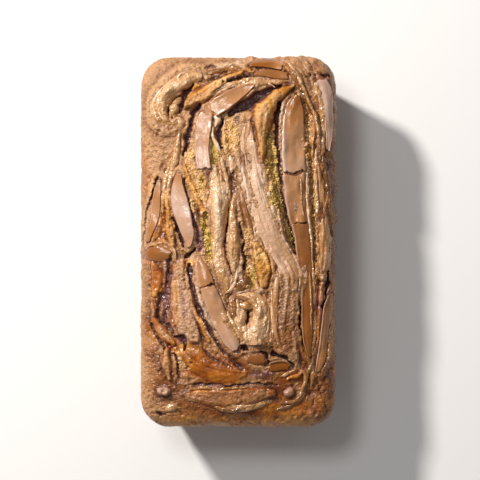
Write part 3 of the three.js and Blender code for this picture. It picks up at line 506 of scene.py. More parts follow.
def strandNoise(flow, x, y, size, seed, steps, stride):
    # Noise averaged along the flow, so that it runs out into strands; its spread is 1
    def sample(px, py):
        return valueNoise(np.stack([px / size, py / size], axis=1), seed)
    total = sample(x, y)
    for sense in (1, -1):
        px, py = x.copy(), y.copy()
        dx, dy = flowAt(flow, px, py)
        dx, dy = dx * sense, dy * sense
        for _ in range(steps):
            px, py = px + dx * stride, py + dy * stride
            nextX, nextY = flowAt(flow, px, py)
            turn = np.where(nextX * dx + nextY * dy < 0, -1, 1)
            dx, dy = nextX * turn, nextY * turn
            total += sample(px, py)
    return total / total.std()


# Meshes

def addObject(name, data):
    obj = bpy.data.objects.new(name, data)
    bpy.context.scene.collection.objects.link(obj)
    return obj


def newMesh(name, points, faces):
    # points are (n, 3) in millimetres; faces are quads, or triangles that repeat their last corner
    mesh = bpy.data.meshes.new(name)
    corners = [face[:3] if face[2] == face[3] else face for face in faces.tolist()]
    mesh.from_pydata((points * mm).tolist(), [], corners)
    mesh.polygons.foreach_set("use_smooth", [True] * len(mesh.polygons))
    return addObject(name, mesh)


def setAttribute(obj, name, values):
    attribute = obj.data.attributes.new(name, "FLOAT", "POINT")
    attribute.data.foreach_set("value", np.asarray(values, np.float32))


def pointNormals(points, faces):
    a, b, c, d = (points[faces[:, k]] for k in range(4))
    isTriangle = (faces[:, 2] == faces[:, 3])[:, None]
    normal = np.cross(c - a, d - b) + np.where(isTriangle, np.cross(b - a, c - a), 0)
    total = np.zeros_like(points)
    for k in range(4):
        np.add.at(total, faces[:, k], normal)
    return total / np.maximum(np.linalg.norm(total, axis=1, keepdims=True), 1e-12)


def breadMesh():
    straight = loaf["length"] / 2 - loaf["corner"]
    turn = np.arange(1, loaf["cornerRows"] + 1) / loaf["cornerRows"] * math.pi / 2
    corner = straight + loaf["corner"] * np.sin(turn)
    rows = np.concatenate([-corner[::-1], np.linspace(-straight, straight, loaf["straightRows"] + 1), corner])
    columns = loaf["columns"]
    share = np.sin(np.linspace(-1, 1, columns + 1) * loaf["columnTurn"]) / math.sin(loaf["columnTurn"])
    x = rowHalfWidth(rows)[:, None] * share[None, :]
    y = np.repeat(rows[:, None], columns + 1, axis=1)
    top = np.stack([x.ravel(), y.ravel(), crownHeight(x, y).ravel()], axis=1)
    stride = columns + 1
    a = (np.arange(len(rows) - 1)[:, None] * stride + np.arange(columns)[None, :]).ravel()
    faces = [np.stack([a, a + 1, a + stride + 1, a + stride], axis=1)]
    last = (len(rows) - 1) * stride
    rim = np.concatenate([np.arange(columns), np.arange(len(rows) - 1) * stride + columns,
                          last + columns - np.arange(columns), last - np.arange(len(rows) - 1) * stride])
    points = [top]
    upper = rim
    count = len(top)
    for level in np.linspace(loaf["rim"], 0, loaf["wallLevels"] + 1)[1:]:
        belowRound = 1 - min(level / loaf["footRound"], 1)
        inset = loaf["footRound"] * (1 - math.sqrt(1 - belowRound ** 2))
        taper = level / loaf["rim"]
        wide = (loaf["footWidth"] + (loaf["width"] - loaf["footWidth"]) * taper) / 2 - inset
        long = (loaf["footLength"] + (loaf["length"] - loaf["footLength"]) * taper) / 2 - inset
        wallX = top[rim, 0] * wide / (loaf["width"] / 2)
        wallY = top[rim, 1] * long / (loaf["length"] / 2)
        points.append(np.stack([wallX, wallY, np.full(len(rim), level)], axis=1))
        lower = count + np.arange(len(rim))
        faces.append(np.stack([upper, lower, np.roll(lower, -1), np.roll(upper, -1)], axis=1))
        upper = lower
        count += len(rim)
    points.append(np.array([[0.0, 0.0, 0.0]]))
    faces.append(np.stack([np.full(len(rim), count), np.roll(upper, -1), upper, upper], axis=1))
    return np.vstack(points), np.vstack(faces), rows


def blurGrid(values, shape, reach):
    grid = values.reshape(shape)
    for axis in (0, 1):
        padded = np.pad(grid, [(reach, reach) if k == axis else (0, 0) for k in (0, 1)], mode="edge")
        running = np.cumsum(padded, axis=axis)
        running = np.insert(running, 0, 0, axis=axis)
        span = 2 * reach + 1
        grid = (np.take(running, range(span, running.shape[axis]), axis)
                - np.take(running, range(running.shape[axis] - span), axis)) / span
    return grid.ravel()


def patchStrength(name, x, y):
    total = np.zeros(len(x))
    for px, py, reachX, reachY, strength in patches[name]:
        near = np.hypot((x - px) / reachX, (y - py) / reachY)
        total = np.maximum(total, strength * (1 - smooth(0.55, 1.25, near)))
    return total


# Noise in the bread's surface: its size in millimetres, octaves and seed
breadNoise = {
    "warp": (9, 3, 5), "warpAlong": (9, 3, 9), "ragged": (3.4, 3, 15), "raggedAlong": (3.4, 3, 19),
    "pinch": (6, 2, 27), "creaseGaps": (8, 2, 95), "grit": (1.6, 2, 25), "heave": (14, 3, 41),
    "grain": (2.2, 3, 21), "crumb": (3.0, 3, 31), "lumps": (7, 3, 51), "fineLumps": (1.6, 2, 61),
    "crags": (4.5, 3, 65),
}
# Strands in it: their size in millimetres, seed, and the number and length of the steps along the flow
breadStrands = {"coarse": (2.3, 71, 9, 1.3), "fine": (1.2, 81, 7, 1.0), "folds": (4.2, 91, 12, 1.6)}
# How relief and colour run into each other. A pair says where a change starts and ends, in half widths across
# a band, ridge or valley, or in millimetres from a band's edge, the rim or the foot.
breadForm = {
    "wobble": 1.3,  # how far ridges, valleys and patches wander from where they are drawn
    "patchWobble": 3.0,
    "coarseShare": 0.7,
    "fineShare": 0.5,
    "strandLimit": 2.0,
    "creaseWidth": 0.2,
    "creaseGaps": (-0.25, 0.25),
    "heave": 0.5,
    "lean": (0.5, 5.5),  # where the bread that leans against a band runs out
    "leanWobble": 0.5,
    "leanStrand": 0.5,
    "leanCrease": 0.6,
    "covered": (0.9, 1.15),
    "ridgeEdge": 1.15,
    "ridgePaint": (0.95, 1.25),
    "ridgeOver": 0.7,  # how much of the streaks is lost on a ridge
    "ridgeStrand": 0.25,
    "tintMiddle": 0.4,
    "tintEdge": 0.9,
    "ridgeWipe": 0.85,
    "seam": (0.1, 1.2),
    "seamGaps": (-0.35, 0.35),
    "seamStrand": 0.25,
    "seamFudge": 0.6,
    "valleyEdge": (0.25, 1.15),
    "pinch": 0.6,
    "crumbGrain": 0.5,
    "atRim": (0, 5),
    "rimRelief": 0.3,
    "rimToast": 0.1,
    "hollows": ((3, 1.5), (8, 3.2)),  # narrow and wide ones: reach in grid steps, depth in millimetres
    "edgeFade": (0, 1.5),
    "strandTone": 0.25,
    "fineLumps": 0.7,
    "calm": 0.7,  # toasted, golden and grey-rose skin is smoother by this
    "cragsFrom": (26, 46),  # height over which the crags at the rim set in
    "poreSize": (0.5, 1.2),
    "poreDepth": 0.9,
    "footFade": (0, 2.5),
}


def layBatter(flow, x, y):
    # The streaked top before anything lies in it
    form = breadForm
    flat = np.stack([x, y], axis=1)
    warp = fractal(flat, *breadNoise["warp"])
    wx = x + form["wobble"] * warp
    wy = y + form["wobble"] * fractal(flat, *breadNoise["warpAlong"])
    masks = {name: patchStrength(name, wx + form["patchWobble"] * warp, wy) for name in patches}
    strand = (form["coarseShare"] * strandNoise(flow, x, y, *breadStrands["coarse"])
              + form["fineShare"] * strandNoise(flow, x, y, *breadStrands["fine"]))
    strand = np.clip(strand, -form["strandLimit"], form["strandLimit"])
    fold = strandNoise(flow, x, y, *breadStrands["folds"])
    crease = np.exp(-(fold / form["creaseWidth"]) ** 2)
    crease = crease * smooth(*form["creaseGaps"], fractal(flat, *breadNoise["creaseGaps"]))
    grit = loaf["grit"] * fractal(flat, *breadNoise["grit"])
    height = masks["streaked"] * (loaf["strandHeight"] * strand - loaf["creaseDepth"] * crease + grit)
    height += form["heave"] * fractal(flat, *breadNoise["heave"])
    return {"x": x, "y": y, "wx": wx, "wy": wy, "flat": flat, "warp": warp, "strand": strand,
            "crease": crease, "height": height, "cover": np.zeros(len(x)), "masks": masks}


def leanOnBands(batter):
    # The bread leans against the side of each band, and lies hidden under it
    form, height, cover = breadForm, batter["height"], batter["cover"]
    for finish, band in allBands:
        near, across, half, share = nearRoute(batter["x"], batter["y"], band["route"], 8)
        reach = 1 - smooth(*form["lean"], (across - 1) * half)
        leaning = spread(band["rise"], share) * finish["shoulder"] * reach
        leaning = leaning * (1 + form["leanWobble"] * batter["warp"][near])
        creased = form["leanCrease"] * loaf["creaseDepth"] * batter["crease"][near]
        relief = batter["masks"]["streaked"][near] * (form["leanStrand"] * batter["strand"][near] - creased)
        height[near] = np.maximum(height[near], leaning + relief)
        cover[near] = np.maximum(cover[near], 1 - smooth(*form["covered"], across))


def raiseRidges(batter):
    form, height, masks = breadForm, batter["height"], batter["masks"]
    for ridge in breadRidges:
        near, across, _, _ = nearRoute(batter["wx"], batter["wy"], ridge["route"], 2)
        inside = 1 - smooth(ridge["flat"], form["ridgeEdge"], across)
        painted = 1 - smooth(*form["ridgePaint"], across)
        raised = (ridge["rise"] + form["ridgeStrand"] * batter["strand"][near]) * inside
        height[near] = np.maximum(height[near] * (1 - form["ridgeOver"] * inside), raised)
        for name in ("toast", "gold", "mauve"):
            tint = np.clip(ridge[name] * (form["tintMiddle"] + form["tintEdge"] * across ** 2), 0, 1)
            masks[name][near] = np.maximum(masks[name][near], painted * tint)
        for name in ("filmAndShade", "crumb", "streaked"):
            masks[name][near] *= 1 - form["ridgeWipe"] * painted


def openSeams(batter):
    # A crack with wet filling along parts of each band's edge
    form, height, fudge = breadForm, batter["height"], batter["masks"]["fudge"]
    for finish, band in allBands:
        near, across, half, _ = nearRoute(batter["x"], batter["y"], band["route"], 2.5)
        gaps = smooth(*form["seamGaps"], batter["warp"][near] + form["seamStrand"] * batter["strand"][near])
        seam = (1 - smooth(*form["seam"], (across - 1) * half)) * gaps
        height[near] -= finish["seam"] * seam
        fudge[near] = np.maximum(fudge[near], form["seamFudge"] * finish["seam"] * seam)


def cutValleys(batter):
    form, flat, height, masks = breadForm, batter["flat"], batter["height"], batter["masks"]
    raggedX = batter["x"] + form["wobble"] * fractal(flat, *breadNoise["ragged"])
    raggedY = batter["y"] + form["wobble"] * fractal(flat, *breadNoise["raggedAlong"])
    pinch = fractal(flat, *breadNoise["pinch"])
    for valley in valleys:
        near, across, _, _ = nearRoute(raggedX, raggedY, valley["route"], 2)
        inside = 1 - smooth(*form["valleyEdge"], across * (1 + form["pinch"] * pinch[near]))
        height[near] = np.minimum(height[near], height[near] * (1 - inside) - valley["depth"] * inside)
        for name in ("fudge", "crumb"):
            masks[name][near] = masks[name][near] * (1 - inside) + valley[name] * inside
        for name in ("filmAndShade", "toast", "gold", "streaked"):
            masks[name][near] *= 1 - inside


def hollowness(height, shape):
    # How far each point lies below what is round it, from -1 on a crest to 1 in a hollow
    narrow, wide = ((blurGrid(blurGrid(height, shape, reach), shape, reach) - height) / depth
                    for reach, depth in breadForm["hollows"])
    return np.clip(np.where(narrow + wide > 0, np.maximum(narrow, wide), narrow), -1, 1)


def roughenCrust(points, faces, masks, topCount):
    # Relief along the surface's own normal, everywhere but on the face that the loaf rests on
    form = breadForm
    calm = np.ones(len(points))
    skin = np.maximum.reduce([masks["toast"], 0.6 * masks["gold"], 0.8 * masks["mauve"]])
    calm[:topCount] -= form["calm"] * skin
    fine = form["fineLumps"] * calm * fractal(points, *breadNoise["fineLumps"])
    relief = loaf["roughness"] * (fractal(points, *breadNoise["lumps"]) + fine)
    broken = patchStrength("craggy", points[:, 0], points[:, 1]) * smooth(*form["cragsFrom"], points[:, 2])
    relief += loaf["crags"] * broken * fractal(points, *breadNoise["crags"])
    draw = np.random.default_rng(loaf["seed"])
    chosen = draw.integers(0, len(points) - 1, loaf["pores"])
    for place, size in zip(points[chosen], draw.uniform(*form["poreSize"], loaf["pores"])):
        near = np.flatnonzero(np.abs(points - place).max(1) < 2 * size)
        gap = np.linalg.norm(points[near] - place, axis=1)
        relief[near] -= form["poreDepth"] * size * (1 - smooth(0.5 * size, 1.3 * size, gap))
    points += pointNormals(points, faces) * (relief * smooth(*form["footFade"], points[:, 2]))[:, None]


def buildBread(flow):
    form = breadForm
    points, faces, rows = breadMesh()
    shape = (len(rows), loaf["columns"] + 1)
    topCount = shape[0] * shape[1]
    batter = layBatter(flow, points[:topCount, 0].copy(), points[:topCount, 1].copy())
    leanOnBands(batter)
    raiseRidges(batter)
    openSeams(batter)
    cutValleys(batter)
    masks, flat = batter["masks"], batter["flat"]
    rimDistance = edgeDistance(batter["x"], batter["y"])
    crumb = fractal(flat, *breadNoise["crumb"]) + form["crumbGrain"] * fractal(flat, *breadNoise["grain"])
    height = batter["height"] + masks["crumb"] * crumb
    height = height * (form["rimRelief"] + (1 - form["rimRelief"]) * smooth(*form["atRim"], rimDistance))
    points[:topCount, 2] += height * smooth(*form["edgeFade"], rimDistance)
    masks["toast"] = np.maximum(masks["toast"], form["rimToast"] * (1 - smooth(*form["atRim"], rimDistance)))
    # Streak colour follows the strands' relief, darker in their low parts: partly the spread's own streaks,
    # partly painted shade.
    masks["strand"] = 0.5 + form["strandTone"] * batter["strand"]
    # Hollows darken the crust's colour later: partly spread left in them, partly painted shade.
    masks["hollow"] = 0.5 + 0.5 * hollowness(height, shape)
    roughenCrust(points, faces, masks, topCount)
    bread = newMesh("breadLoaf", points, faces)
    toFoot = 1 - points[topCount:, 2] / loaf["rim"]
    # The walls take a fixed share of the same darkening, more of it towards the foot.
    wall = {"toast": 0.08 + 0.2 * toFoot, "strand": 0.5, "hollow": 0.55 + 0.07 * toFoot}
    for name, values in masks.items():
        full = np.zeros(len(points))
        full[:topCount] = np.clip(values, 0, 1)
        full[topCount:] = wall.get(name, 0)
        setAttribute(bread, name, full)
    print("bread:", len(bread.data.polygons), "faces")
    top = {"height": points[:topCount, 2], "cover": batter["cover"], "streaked": masks["streaked"]}
    return bread, {"rows": rows, **{name: values.reshape(shape) for name, values in top.items()}}


def onTop(top, name, x, y):
    # The nearest value of the bread's own grid
    row = np.interp(y, top["rows"], np.arange(len(top["rows"])))
    share = np.clip(x / rowHalfWidth(y), -1, 1) * math.sin(loaf["columnTurn"])
    column = (np.arcsin(share) / loaf["columnTurn"] + 1) / 2 * loaf["columns"]
    return top[name][np.rint(row).astype(int), np.rint(column).astype(int)]


finishes = {
    # Set spread with a smooth skin: satin, soft dents, sharp broken edges
    "slab": {"step": 0.6, "wander": 0.12, "edgeDetail": 4, "streak": 0.12, "streakLength": 30,
        "streakWidth": 3, "furrow": 0, "swell": 0.9, "swellSize": 7, "swellStretch": 1.9, "grain": 0.2,
        "grainSize": 3.2, "grainStretch": 1.4, "jag": 1.6, "seam": 0.9, "shoulder": 0.7, "toneStreak": 0},
    # Folded spread: round and glossy with fine bubbles and creases where it was folded
    "rope": {"step": 0.5, "wander": 0.26, "edgeDetail": 2, "streak": 1.2, "streakLength": 16,
        "streakWidth": 4, "furrow": 0.5, "swell": 1.7, "swellSize": 5, "swellStretch": 2.6, "grain": 0.7,
        "grainSize": 2.4, "grainStretch": 1.5, "jag": 0.6, "seam": 0.5, "shoulder": 0.45,
        "toneStreak": 0.3},
    # Spread dragged out thin and dried: softly shining, furrowed lengthwise, frayed at its edges
    "smear": {"step": 0.5, "wander": 0.28, "edgeDetail": 4, "streak": 1.3, "streakLength": 26,
        "streakWidth": 3, "furrow": 0.8, "swell": 1.1, "swellSize": 7, "swellStretch": 2.4, "grain": 0.35,
        "grainSize": 1.3, "grainStretch": 4, "jag": 1.2, "seam": 0.3, "shoulder": 0.65, "toneStreak": 0.18},
}
bandGroups = {"slab": slabs, "rope": ropes, "smear": smears}
allBands = [(finishes[kind], band) for kind, group in bandGroups.items() for band in group.values()]


def sectionOf(kind, count):
    # Places round a band's section, over the top from left to right and back under it. Each is [across, share
    # of the rise, how much of a broken side it is].
    if kind == "slab":
        s = np.linspace(-0.86, 0.86, count)
        height = 0.9 + 0.1 * (np.abs(s) / 0.86) ** 4
        left = [[-0.97, -1, 1], [-1.0, 0.3, 1], [-0.99, 0.7, 0.4], [-0.94, 0.92, 0.1]]
        right = [[0.94, 0.92, 0.1], [0.99, 0.7, 0.4], [1.0, 0.3, 1], [0.97, -1, 1]]
    else:
        s = -np.cos(np.linspace(0.06, math.pi - 0.06, count))
        height = (1 - s ** 2) ** 0.5 if kind == "rope" else (1 - np.abs(s) ** 3) ** 0.8
        left = [[-0.9, -1, 1]]
        right = [[0.9, -1, 1]]
    middle = np.stack([s, height, np.maximum(0, 0.5 - 1.6 * height)], axis=1)
    under = [[0.45, -1, 1], [0, -1, 1], [-0.45, -1, 1]]
    return np.vstack([left, middle, right, under])


# What all bands share, in millimetres and shares of the half width
bandForm = {
    "edgeSize": 5,  # length of the bends in a band's edge
    "edgeGrip": 1.3,
    "endLength": 3.5,  # the part at each end that breaks off raggedly
    "endSlide": 0.1,
    "jagSize": 2.2,
    "narrowRise": 0.35,  # share of the rise that is left where a band is at its narrowest
    "rimPlace": (0.55, 0.93),
    "furrowWidth": 0.09,
    "sunk": 1.5,  # how deep the underside lies in the bread
}


def bandMesh(name, kind, band, finish, seed):
    line, run = traceRoute(band["route"], finish["step"])
    along = np.gradient(line[:, :2], axis=0)
    along /= np.linalg.norm(along, axis=1, keepdims=True)
    # The first and last ring stand twice: the outer one of each pair drops into the bread as an end face
    line, along, run = (np.concatenate([rows[:1], rows, rows[-1:]]) for rows in (line, along, run))
    side = np.stack([along[:, 1], -along[:, 0]], axis=1)
    section = sectionOf(kind, max(int(line[:, 2].max() * 2 / finish["step"]), 10))
    rings, size = len(line), len(section)
    across, share, edge = (np.tile(section[:, k], rings) for k in range(3))
    ring = np.repeat(np.arange(rings), size)
    isEnd = (ring == 0) | (ring == rings - 1)
    half = line[ring, 2]
    place = run[ring]
    seedAxis = np.full(len(ring), seed * 7.7)
    edgeSpot = np.stack([place / bandForm["edgeSize"], np.sign(across) * 3 + seedAxis], axis=1)
    bend = finish["wander"] * fractal(edgeSpot, 1, finish["edgeDetail"], seed)
    offset = across * half * (1 + bend * np.minimum(np.abs(across) * bandForm["edgeGrip"], 1))
    # Broken ends: the last few millimetres slide along the route by a jagged amount
    nearEnd = 1 - smooth(0, bandForm["endLength"], np.minimum(place, run[-1] - place))
    sense = np.where(place > run[-1] / 2, 1, -1)
    jagSpot = np.stack([offset / bandForm["jagSize"], sense * 5 + seedAxis], axis=1)
    jag = finish["jag"] * fractal(jagSpot, 1, 3, seed + 1)
    slide = sense * (nearEnd * jag + isEnd * bandForm["endSlide"])
    x = line[ring, 0] + side[ring, 0] * offset + along[ring, 0] * slide
    y = line[ring, 1] + side[ring, 1] * offset + along[ring, 1] * slide
    local = np.stack([place, offset, seedAxis], axis=1)
    least = bandForm["narrowRise"]
    thin = 1.0 if kind == "slab" else least + (1 - least) * half / line[:, 2].max()
    rim = band.get("rim", 0) * smooth(*bandForm["rimPlace"], across)
    rise = spread(band["rise"], place / run[-1]) * thin + band.get("bulge", 0) * (0.5 - across ** 2)
    lift = (rise - band.get("tilt", 0) * across + 2 * rim) * np.maximum(share, 0)
    streakScale = np.array([1 / finish["streakLength"], 1 / finish["streakWidth"], 1])
    streak = fractal(local * streakScale, 1, 3, seed + 3)
    furrow = finish["furrow"] * np.exp(-(streak / bandForm["furrowWidth"]) ** 2)
    lift += np.minimum(lift, 1) * (finish["streak"] * streak - furrow)
    stretched = local / np.array([finish["swellStretch"], 1, 1])
    lift += finish["swell"] * band.get("buckle", 1) * fractal(stretched, finish["swellSize"], 2, seed + 5)
    stretched = local / np.array([finish["grainStretch"], 1, 1])
    lift += finish["grain"] * fractal(stretched, finish["grainSize"], 2, seed + 7)
    z = crownHeight(x, y) + np.where((share < 0) | isEnd, -bandForm["sunk"], lift)
    points = np.stack([x, y, z], axis=1)
    start = (np.arange(rings - 1)[:, None] * size + np.arange(size)[None, :]).ravel()
    nextUp = (np.arange(rings - 1)[:, None] * size + (np.arange(size)[None, :] + 1) % size).ravel()
    faces = [np.stack([start, nextUp, nextUp + size, start + size], axis=1)]
    for first, outward in ((0, -1), ((rings - 1) * size, 1)):
        ends = first + np.arange(size)
        nextEnd = first + (np.arange(size) + 1) % size
        points = np.vstack([points, points[ends].mean(0)])
        pair = (nextEnd, ends) if outward < 0 else (ends, nextEnd)
        faces.append(np.stack([np.full(size, len(points) - 1), pair[0], pair[1], pair[1]], axis=1))
    obj = newMesh(name, points, np.vstack(faces))
    lengthwise = obj.data.uv_layers.new(name="lengthwise")
    spots = np.stack([place, offset + seed], axis=1) * mm
    spots = np.vstack([spots, spots[:1], spots[-1:]])
    corner = np.zeros(len(obj.data.loops), np.int32)
    obj.data.loops.foreach_get("vertex_index", corner)
    lengthwise.data.foreach_set("uv", spots[corner].astype(np.float32).ravel())
    # Tone along the band is partly painted light; rim adds a painted highlight that pales the lifted edge.
    tone = spread(band["tone"], place / run[-1]) + rim + finish["toneStreak"] * streak
    setAttribute(obj, "tone", np.append(tone, [tone[0], tone[-1]]))
    setAttribute(obj, "side", np.append(np.where(isEnd, 1, edge), [1, 1]))
    return obj


# Node trees

def srgb(code):
    parts = [int(code[k:k + 2], 16) / 255 for k in (1, 3, 5)]
    return tuple(p / 12.92 if p <= 0.04045 else ((p + 0.055) / 1.055) ** 2.4 for p in parts) + (1.0,)


def addNode(tree, kind, values=None):
    # Another node's output is linked. Any other value goes to the node's own property of that name, or else
    # to the input of that name or number.
    node = tree.nodes.new(kind)
    for key, value in (values or {}).items():
        if isinstance(value, bpy.types.NodeSocket):
            tree.links.new(value, node.inputs[key])
        elif isinstance(key, str) and hasattr(node, key):
            setattr(node, key, value)
        else:
            node.inputs[key].default_value = value
    return node


def newTree(name, inputs):
    tree = bpy.data.node_groups.new(name, "GeometryNodeTree")
    for label, kind in {"Geometry": "Geometry", **inputs, "Finish": "Material"}.items():
        tree.interface.new_socket(name=label, in_out="INPUT", socket_type="NodeSocket" + kind)
    tree.interface.new_socket(name="Geometry", in_out="OUTPUT", socket_type="NodeSocketGeometry")
    return tree, addNode(tree, "NodeGroupInput").outputs


def endTree(tree, geometry, finish):
    real = addNode(tree, "GeometryNodeRealizeInstances", {"Geometry": geometry}).outputs[0]
    shaded = addNode(tree, "GeometryNodeSetShadeSmooth", {"Geometry": real}).outputs[0]
    done = addNode(tree, "GeometryNodeSetMaterial", {"Geometry": shaded, "Material": finish}).outputs[0]
    addNode(tree, "NodeGroupOutput", {"Geometry": done})
    return tree


def applyTree(obj, tree, values, name):
    modifier = obj.modifiers.new(tree.name, "NODES")
    modifier.node_group = tree
    for socket in tree.interface.items_tree:
        if socket.in_out == "INPUT" and socket.name in values:
            modifier[socket.identifier] = values[socket.name]
    evaluated = obj.evaluated_get(bpy.context.evaluated_depsgraph_get())
    mesh = bpy.data.meshes.new_from_object(evaluated)
    obj.modifiers.remove(modifier)
    return addObject(name, mesh)


def namedAttribute(tree, name):
    return addNode(tree, "GeometryNodeInputNamedAttribute", {"data_type": "FLOAT", "Name": name}).outputs[0]


def maths(tree, operation, *values):
    return addNode(tree, "ShaderNodeMath", {"operation": operation, **dict(enumerate(values))}).outputs[0]


def scaled(tree, vector, scale):
    return addNode(tree, "ShaderNodeVectorMath", {"operation": "SCALE", 0: vector, "Scale": scale}).outputs[0]


def ribbonTree():
    # Sweeps an oval section along each line, as wide as the line's own halfWidth, and roughens it
    tree, given = newTree("ribbonAlongRoute", {"Sides": "Int", "Roughness": "Float", "Lump Size": "Float"})
    lines = addNode(tree, "GeometryNodeMeshToCurve", {"Mesh": given["Geometry"]}).outputs[0]
    level = addNode(tree, "GeometryNodeSetCurveNormal", {"mode": "Z_UP", "Curve": lines}).outputs[0]
    circle = addNode(tree, "GeometryNodeCurvePrimitiveCircle", {"Radius": 1.0, "Resolution": given["Sides"]})
    flatten = {"Geometry": circle.outputs[0], "Scale": (1.0, thinStrips["flatness"], 1.0)}
    oval = addNode(tree, "GeometryNodeTransform", flatten).outputs[0]
    body = addNode(tree, "GeometryNodeCurveToMesh", {
        "Curve": level, "Profile Curve": oval, "Scale": namedAttribute(tree, "halfWidth"), "Fill Caps": True})
    place = addNode(tree, "GeometryNodeInputPosition").outputs[0]
    fineness = maths(tree, "DIVIDE", 1.0, given["Lump Size"])
    lumps = addNode(tree, "ShaderNodeTexNoise", {"Vector": place, "Scale": fineness, "Detail": 3.0})
    amount = maths(tree, "MULTIPLY", maths(tree, "SUBTRACT", lumps.outputs[0], 0.5), given["Roughness"])
    push = scaled(tree, addNode(tree, "GeometryNodeInputNormal").outputs[0], amount)
    moved = addNode(tree, "GeometryNodeSetPosition", {"Geometry": body.outputs[0], "Offset": push}).outputs[0]
    return endTree(tree, moved, given["Finish"])


def crumbTree():
    # Scatters small lumps over a surface, as thickly as its crumb attribute says
    tree, given = newTree("crumbsOnSurface", {"Density": "Float", "Smallest": "Float", "Largest": "Float",
                                              "Seed": "Int"})
    density = maths(tree, "MULTIPLY", namedAttribute(tree, "crumb"), given["Density"])
    spots = addNode(tree, "GeometryNodeDistributePointsOnFaces", {
        "Mesh": given["Geometry"], "Density": density, "Seed": given["Seed"]}).outputs[0]
    lump = addNode(tree, "GeometryNodeMeshIcoSphere", {"Radius": 1.0, "Subdivisions": 1}).outputs[0]
    draw = {"data_type": "FLOAT_VECTOR", "Seed": given["Seed"]}
    turn = addNode(tree, "FunctionNodeRandomValue", {**draw, 1: (math.tau,) * 3}).outputs[0]
    between = {0: crumbs["flattest"], 1: crumbs["fullest"]}
    squash = addNode(tree, "FunctionNodeRandomValue", {**draw, **between}).outputs[0]
    size = addNode(tree, "FunctionNodeRandomValue", {
        "data_type": "FLOAT", 2: given["Smallest"], 3: given["Largest"], "Seed": given["Seed"]}).outputs[1]
    placed = addNode(tree, "GeometryNodeInstanceOnPoints", {
        "Points": spots, "Instance": lump, "Rotation": turn, "Scale": scaled(tree, squash, size)}).outputs[0]
    return endTree(tree, placed, given["Finish"])


# Finishes

def newMaterial(name):
    material = bpy.data.materials.new(name)
    material.use_nodes = True
    material.node_tree.nodes.clear()
    return material, material.node_tree


def endMaterial(tree, values):
    shader = addNode(tree, "ShaderNodeBsdfPrincipled", values)
    addNode(tree, "ShaderNodeOutputMaterial", {"Surface": shader.outputs[0]})


def ramp(tree, source, stops):
    node = addNode(tree, "ShaderNodeValToRGB", {"Fac": source})
    elements = node.color_ramp.elements
    while len(elements) < len(stops):
        elements.new(0.5)
    for element, (place, colour) in zip(elements, stops):
        element.position = place
        element.color = srgb(colour)
    return node.outputs["Color"]


def mixColour(tree, factor, first, second, blend="MIX"):
    values = {"data_type": "RGBA", "blend_type": blend, 0: factor, 6: first, 7: second}
    return addNode(tree, "ShaderNodeMix", values).outputs[2]


def attributeOf(tree, name):
    return addNode(tree, "ShaderNodeAttribute", {"attribute_name": name}).outputs["Fac"]


def cloudy(tree, coords, size, detail, roughness=0.5):
    return addNode(tree, "ShaderNodeTexNoise", {
        "Vector": coords, "Scale": 1 / size, "Detail": detail, "Roughness": roughness}).outputs["Fac"]


def ranged(tree, source, low, high):
    return addNode(tree, "ShaderNodeMapRange", {"Value": source, "To Min": low, "To Max": high}).outputs[0]


def bumped(tree, height, strength, distance):
    values = {"Height": height, "Strength": strength, "Distance": distance}
    return addNode(tree, "ShaderNodeBump", values).outputs[0]


# Sizes of the crust's patterns in metres, and how its colours lie on each other
crustLook = {
    "blotch": 0.012,
    "grain": 0.0018,
    "pores": 0.0024,
    "speckle": 0.0026,
    "speckleDepth": 0.0019,
    "dimples": (0.9, 0.3),  # from plain to toasted
    "roughness": (0.52, 0.22),  # from plain to wet
    "fleck": 0.6,
    "poreShade": 0.8,
    # Hollow darkening is partly spread left in hollows and partly painted shade; crumb and fudge are darkened
    # less.
    "hollowDarkening": (0.95, 0.4),  # how much hollows darken, from plain bread to open crumb
    "fudgeLessDarkened": 0.6,
    "streakShine": 0.7,
}


